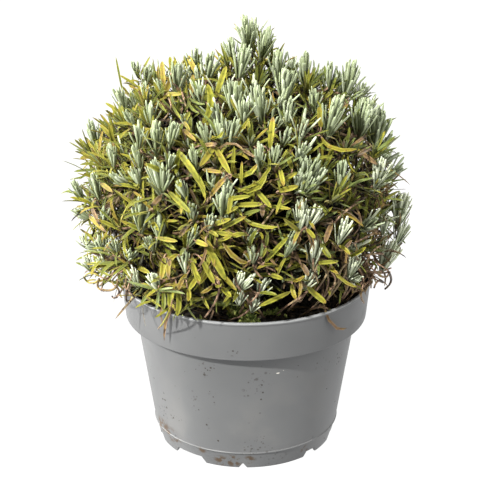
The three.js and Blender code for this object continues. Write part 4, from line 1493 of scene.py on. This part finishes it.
class Growth:
    """Leaves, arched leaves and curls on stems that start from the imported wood. Tufts keep clear
    of the places that are taken."""

    def __init__(self, places, taken):
        self.rng = random.Random("fill")
        self.wood = tree_of(places)
        self.taken = taken
        self.leaves = []
        self.arches = []
        self.curls = []
        self.stems = []

    def stem_to(self, end, axis, width):
        """A stem from the nearest wood that is further in than its end."""
        depth = (end - DOME_CENTRE).length - STEM_RISE
        near_wood = [found for found, _, _ in self.wood.find_range(end, STEM_REACH)]
        inward = [found for found in near_wood if (found - DOME_CENTRE).length < depth]
        start = min(inward or [self.wood.find(end)[0]], key=lambda found: (found - end).length)
        bend = end - axis * (end - start).length * 0.45
        self.stems.append(Stem(start, bend, end, width * 1.3, width, self.rng.random()))

    def sprout(self, apex, axis, size, young, old, tilts=SKIRT_TILTS, ages=BRUSH_AGES, least=0.0):
        """A tuft on a stem of its own."""
        self.stem_to(apex, axis, TUFT_STEM)
        self.leaves += brush(self.rng, apex, axis, size, young, ages, least)
        self.leaves += skirt(self.rng, apex, axis, size, old, (2, 18), tilts)

    def add_seen_tufts(self):
        """The photograph's tufts, painted palest where little light reaches them, as painted light,
        with no painted shade there and little elsewhere.
        """
        for apex, axis, length in SEEN_TUFTS:
            self.taken.append(apex)
            # Painted light: low tufts, those in the thin place and those on the right side below the
            # shaded height get the palest ages and no painted shade, in place of light that doesn't
            # reach them.
            shaded = apex.z < LOW_BUSH or thinness(apex) > 0.4
            shaded = shaded or (apex.x > SHADED_SIDE and apex.z < SHADED_BUSH)
            yellowing = max(0.0, ageing(apex)[0] - 0.5) if apex.z > SHADED_BUSH else 0
            old = round(6 + 12 * yellowing - 4 * thinness(apex))
            size = length / BRUSH_REACH
            young = round(17 * size - 2 - 9 * yellowing)
            ages = (0, 0.02) if shaded else (0.04, 0.095)
            self.sprout(apex, axis, size, young, old, ages=ages, least=1.0 if shaded else 0.8)

    def fill_gaps(self):
        """Tufts all round the bush wherever none is near."""
        rng = self.rng
        for index in range(FILL_TRIES):
            azimuth = index * GOLDEN_ANGLE + 0.4
            share = (index + 0.5) / FILL_TRIES
            polar = math.acos(1 - share * (1 - math.cos(lowest_polar(azimuth))))
            out = direction_at(polar, azimuth)
            apex = DOME_CENTRE + out * (dome_reach(out) * rng.uniform(0.9, 1.02) - FILL_INSET)
            nearest = min((apex - other).length for other in self.taken)
            if nearest < FILL_SPACING or rng.random() < thinness(apex):
                continue
            self.taken.append(apex)
            axis = (out * 0.62 + UP * 0.5 + scattered(rng, 0.25)).normalized()
            if rng.random() < 1.05 * ageing(apex)[0]:
                self.sprout(apex, axis, rng.uniform(0.9, 1.15), 0, 14, (14, 80))
            else:
                self.sprout(apex, axis, rng.uniform(0.66, 0.92), 11, 10)

    def add_blades(self):
        """The photograph's single old leaves, turned towards the camera."""
        for root_x, root_y, tip_x, tip_y, width, age in PHOTO_BLADES:
            root = seen_at((root_x, root_y), BLADE_INSET[0])
            chord = seen_at((tip_x, tip_y), BLADE_INSET[1]) - root
            bend = self.rng.uniform(-50, -10) * DEG
            side = chord.cross(EYE - root).normalized()
            heading = Quaternion(side, -bend / 2) @ chord.normalized()
            self.stem_to(root, chord.normalized(), LEAF_STEM)
            self.leaves.append(Leaf(
                root, heading, side.cross(heading), chord.length * 1.03,
                width * BLADE_WIDTH_SHARE * MM, age, tint=self.rng.random(), bend=bend,
                twist=self.rng.uniform(-30, 30) * DEG, thickness=0.7,
            ))

    def add_arches(self):
        """The photograph's arched leaves."""
        for *pixels, width, age in PHOTO_ARCHES:
            root, bend, tip = traced(pixels, ARCH_INSET)
            self.stem_to(root, (bend - root).normalized(), LEAF_STEM)
            face = (EYE - root).normalized() + UP * 0.4
            wide = width * MM
            self.arches.append(
                Stem(root, bend, tip, wide, wide, self.rng.random(), age, face, 0.8)
            )

    def add_twigs(self):
        """The photograph's brown stems, each carried by another."""
        for pixels in PHOTO_TWIGS:
            start, bend, end = traced(pixels, (TWIG_INSET,) * 3)
            self.stems.append(Stem(start, bend, end, *TWIG_WIDTHS, self.rng.random()))
            self.stem_to(start, (bend - start).normalized(), TWIG_STEM)

    def add_curls(self):
        """The photograph's dead curls."""
        for *pixels, width, age in PHOTO_CURLS:
            root, bend, tip = traced(pixels, (CURL_INSET,) * 3)
            wide = width * MM
            self.curls.append(Stem(root, bend, tip, wide, wide * 0.7, self.rng.random(), age))

    def hang_curls(self):
        """A twig for each curl that doesn't go on from another's end."""
        for curl in self.curls:
            if all((curl.root - other.end).length > CURL_LINK for other in self.curls):
                self.stem_to(curl.root, (curl.bend - curl.root).normalized(), CURL_STEM)

    def show(self):
        """Makes the pieces."""
        arched = [grown("arches", STRAP, self.arches), grown("curls", STEM, self.curls)]
        piece("arched_leaves", joined("arched_leaves", arched), [YELLOW])
        some = len(self.leaves) // YOUNG_PIECES + 1
        for number in range(YOUNG_PIECES):
            meshes = foliage("young", self.leaves[number * some : (number + 1) * some])
            name = f"young_sprays_{number + 1}"
            piece(name, joined("young", meshes), [SILVER])
        piece("young_stems", grown("young_stems", STEM, self.stems), [BARK])


def make_growth(tufts):
    """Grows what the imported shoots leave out, and returns the places that inner leaves hold to."""
    places = stem_points()
    growth = Growth(places, [tuft.apex for tuft in tufts])
    growth.add_seen_tufts()
    growth.fill_gaps()
    growth.add_blades()
    growth.add_arches()
    growth.add_twigs()
    growth.add_curls()
    places += [spot for stem in growth.stems for spot, _, _ in stem.frames((0.2, 0.4, 0.6, 0.8))]
    growth.hang_curls()
    growth.show()
    return places


# The bush's dry inside: old leaves, twigs and dead curls hang about its stems.

INNER_LEAVES = 9600
TANGLE_TRIES = 840
LITTER = 110
# Dead leaves over the pot's rim: (angle, radius, height) on the pot of start, bend and end, and
# their width.
RIM_LEAVES = [
    ((37, 92, 138), (36, 101, 117.5), (48, 98.4, 115), 2.2),
    ((28, 78, 124), (34, 92, 142), (38, 96, 134), 1.8),
    ((-33, 90, 138), (-35, 102, 138), (-37, 98.4, 111), 2.4),
    ((-38, 88, 138), (-40, 102, 142), (-37, 98.6, 122), 1.4),
]


def inner_limit(place):
    """How far out the bush's old inside reaches: less far low down, where gaps are dark."""
    return 0.45 if place.z < DARK_INSIDE else 0.8


def make_inner_leaves(rng, places):
    """Old leaves round the stems, wide deep inside the bush, where painted shade makes them dark, and
    narrow further out.
    """
    inside = [place for place in places if openness(place) < inner_limit(place)]
    wood = tree_of(inside)
    leaves = []
    for index in range(INNER_LEAVES):
        out = direction_at(math.acos(rng.uniform(-0.45, 1)), rng.uniform(0, math.tau))
        spot = DOME_CENTRE + out * dome_reach(out) * rng.uniform(0.3, 0.86)
        if index % 3 == 0:
            spot = rng.choice(inside)
        root = wood.find(spot)[0] + scattered(rng, 1) * MM
        way = (root - DOME_CENTRE).normalized()
        heading = (spot - root) / (12 * MM) + way * rng.uniform(0, 0.8)
        heading += scattered(rng, 1)
        heading.normalize()
        length = rng.uniform(14, 30) * MM
        if openness(root + heading * length) > inner_limit(root) + 0.15:
            length *= 0.5
        ages = (0.85, 1) if rng.random() < 0.6 else (0.2, 0.6)
        widths = (3, 5.4) if openness(root) < 0.3 else (1.2, 2.2)
        leaves.append(loose_leaf(
            rng, root, heading, UP + way * 0.3, length, widths, ages, (-160, 60), 60, 90, 0.6,
        ))
    piece("inner_leaves", grown("inner", INNER, clear_of_pot(leaves)), [DRY])


def tangles(rng, places):
    """Dead leaves that curl out of the bush low down, most of them on the right."""
    low = [place for place in places if place.z < TANGLED_BUSH and 0.25 < openness(place) < 0.95]
    curls = []
    for _ in range(TANGLE_TRIES):
        root = rng.choice(low)
        way = (root - DOME_CENTRE).normalized()
        if rng.random() > (0.05 + ageing(root)[1] * 1.4) * (1 - 0.7 * thinness(root)):
            continue
        heading = way * 0.7 - UP * rng.uniform(-0.3, 0.8) + scattered(rng, 0.8)
        heading.normalize()
        length = kept_in(root, heading, rng.uniform(20, 38) * MM, 2 * MM)
        curls.append(loose_leaf(
            rng, root, heading, UP + way * 0.3, length, (1.2, 2.1), (0.8, 0.95), (-220, 90), 90,
            60, 0.8,
        ))
    return curls


def litter(rng):
    """Dead leaves that lie on the compost."""
    curls = []
    for _ in range(LITTER):
        angle = rng.uniform(0, 360)
        radius = rng.uniform(30, 88)
        root = on_pot(angle, radius, soil_top(radius) + rng.uniform(1, 4))
        heading = Vector((rng.uniform(-1, 1), rng.uniform(-1, 1), rng.uniform(0, 0.3))).normalized()
        curls.append(loose_leaf(
            rng, root, heading, UP, rng.uniform(12, 26) * MM, (1.2, 3), (0.8, 0.95), (-40, 10), 70,
            60, 0.8,
        ))
    return curls


def rim_leaves(rng):
    """The dead leaves that hang over the pot's rim."""
    curls = []
    for start, bend, end, width in RIM_LEAVES:
        face = (on_pot(bend[0], bend[1], 0) - AXIS).normalized()
        curls.append(Stem(
            on_pot(*start), on_pot(*bend), on_pot(*end), width * MM, width * MM, rng.random(), 0.88,
            face, 0.8,
        ))
    return curls


def make_inner(places):
    """The old leaves inside the bush, and the dead ones round and under it."""
    rng = random.Random("inner")
    make_inner_leaves(rng, places)
    curls = clear_of_pot(tangles(rng, places) + litter(rng)) + rim_leaves(rng)
    piece("dry_tangles", grown("tangles", STRAP, curls), [DRY])


# The studio: a floor that glows white round the pot, a small key light from the front left, soft
# light from the left, from above and from the right, and the photograph's camera.

# Lights that shine from afar: (name, energy, softness in degrees, direction).
LIGHTS = [
    ("key", 7.9, 2.5, (0.527, 0.586, -0.616)),
    ("left", 10.5, 50, (1, -0.15, -0.2)),
    ("overhead", 1.8, 60, (-0.25, 0.35, -1)),
    ("right", 2.6, 60, (-1, 0.4, -0.25)),
]
LIGHT_COLOUR = (1, 0.985, 0.95)
WORLD_LIGHT = 0.2
FLOOR_HALF_WIDTH = 6
# Distances from the pot's axis, under its floor, between which the ground starts to glow. Nearer
# the axis it stays dark, as a painted shadow under the pot.
GLOW_START = 48 * MM
GLOW_END = 54 * MM


def make_floor():
    """The white floor, which glows except under the pot, where it stays dark as a painted shadow."""
    bm = bmesh.new()
    bmesh.ops.create_grid(bm, x_segments=1, y_segments=1, size=FLOOR_HALF_WIDTH)
    floor = shown("floor", mesh_of(bm, "floor"))
    made, tree, shader, place = material("pale_floor", {
        "Base Color": colour(44, 44, 44), "Emission Color": (1, 1, 1, 1), "Roughness": 0.9,
        "Specular IOR Level": 0.1,
    })
    away = node(tree, "VectorMath", {0: place, 1: tuple(AXIS)}, operation="DISTANCE").outputs[1]
    # Painted shadow: no glow under the pot.
    glow = eased(tree, away, GLOW_START, GLOW_END)
    tree.links.new(glow, shader.inputs["Emission Strength"])
    floor.data.materials.append(made)


def make_lights():
    """A faint even light and the lights from afar."""
    world = bpy.data.worlds.new("studio")
    world.use_nodes = True
    background = world.node_tree.nodes["Background"]
    background.inputs["Color"].default_value = (1, 1, 1, 1)
    background.inputs["Strength"].default_value = WORLD_LIGHT
    bpy.context.scene.world = world
    for name, energy, softness, direction in LIGHTS:
        light = bpy.data.lights.new(name, "SUN")
        light.energy = energy
        light.angle = softness * DEG
        light.color = LIGHT_COLOUR
        lamp = shown(name, light)
        lamp.rotation_mode = "QUATERNION"
        lamp.rotation_quaternion = Vector(direction).to_track_quat("-Z", "Y")


def make_camera():
    """The photograph's camera, with colours shown as they are."""
    lens = bpy.data.cameras.new("camera")
    lens.sensor_width = SENSOR_WIDTH
    lens.lens = FOCAL_PIXELS / PHOTO_PIXELS * SENSOR_WIDTH
    camera = shown("camera", lens)
    camera.location = EYE
    camera.rotation_euler = (math.pi / 2 - CAMERA_PITCH, 0, 0)
    bpy.context.scene.camera = camera
    bpy.context.scene.view_settings.view_transform = "Standard"


make_pot()
compost_finish = make_compost()
make_soil(compost_finish)
make_crumbs(compost_finish)
make_moss_cushions()
shoots = sorted(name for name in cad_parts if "_shoot_" in name)
packed_tufts = [tuft for name in shoots for tuft in make_shoot(name)]
make_crown()
make_inner(make_growth(packed_tufts))
make_floor()
make_lights()
make_camera()
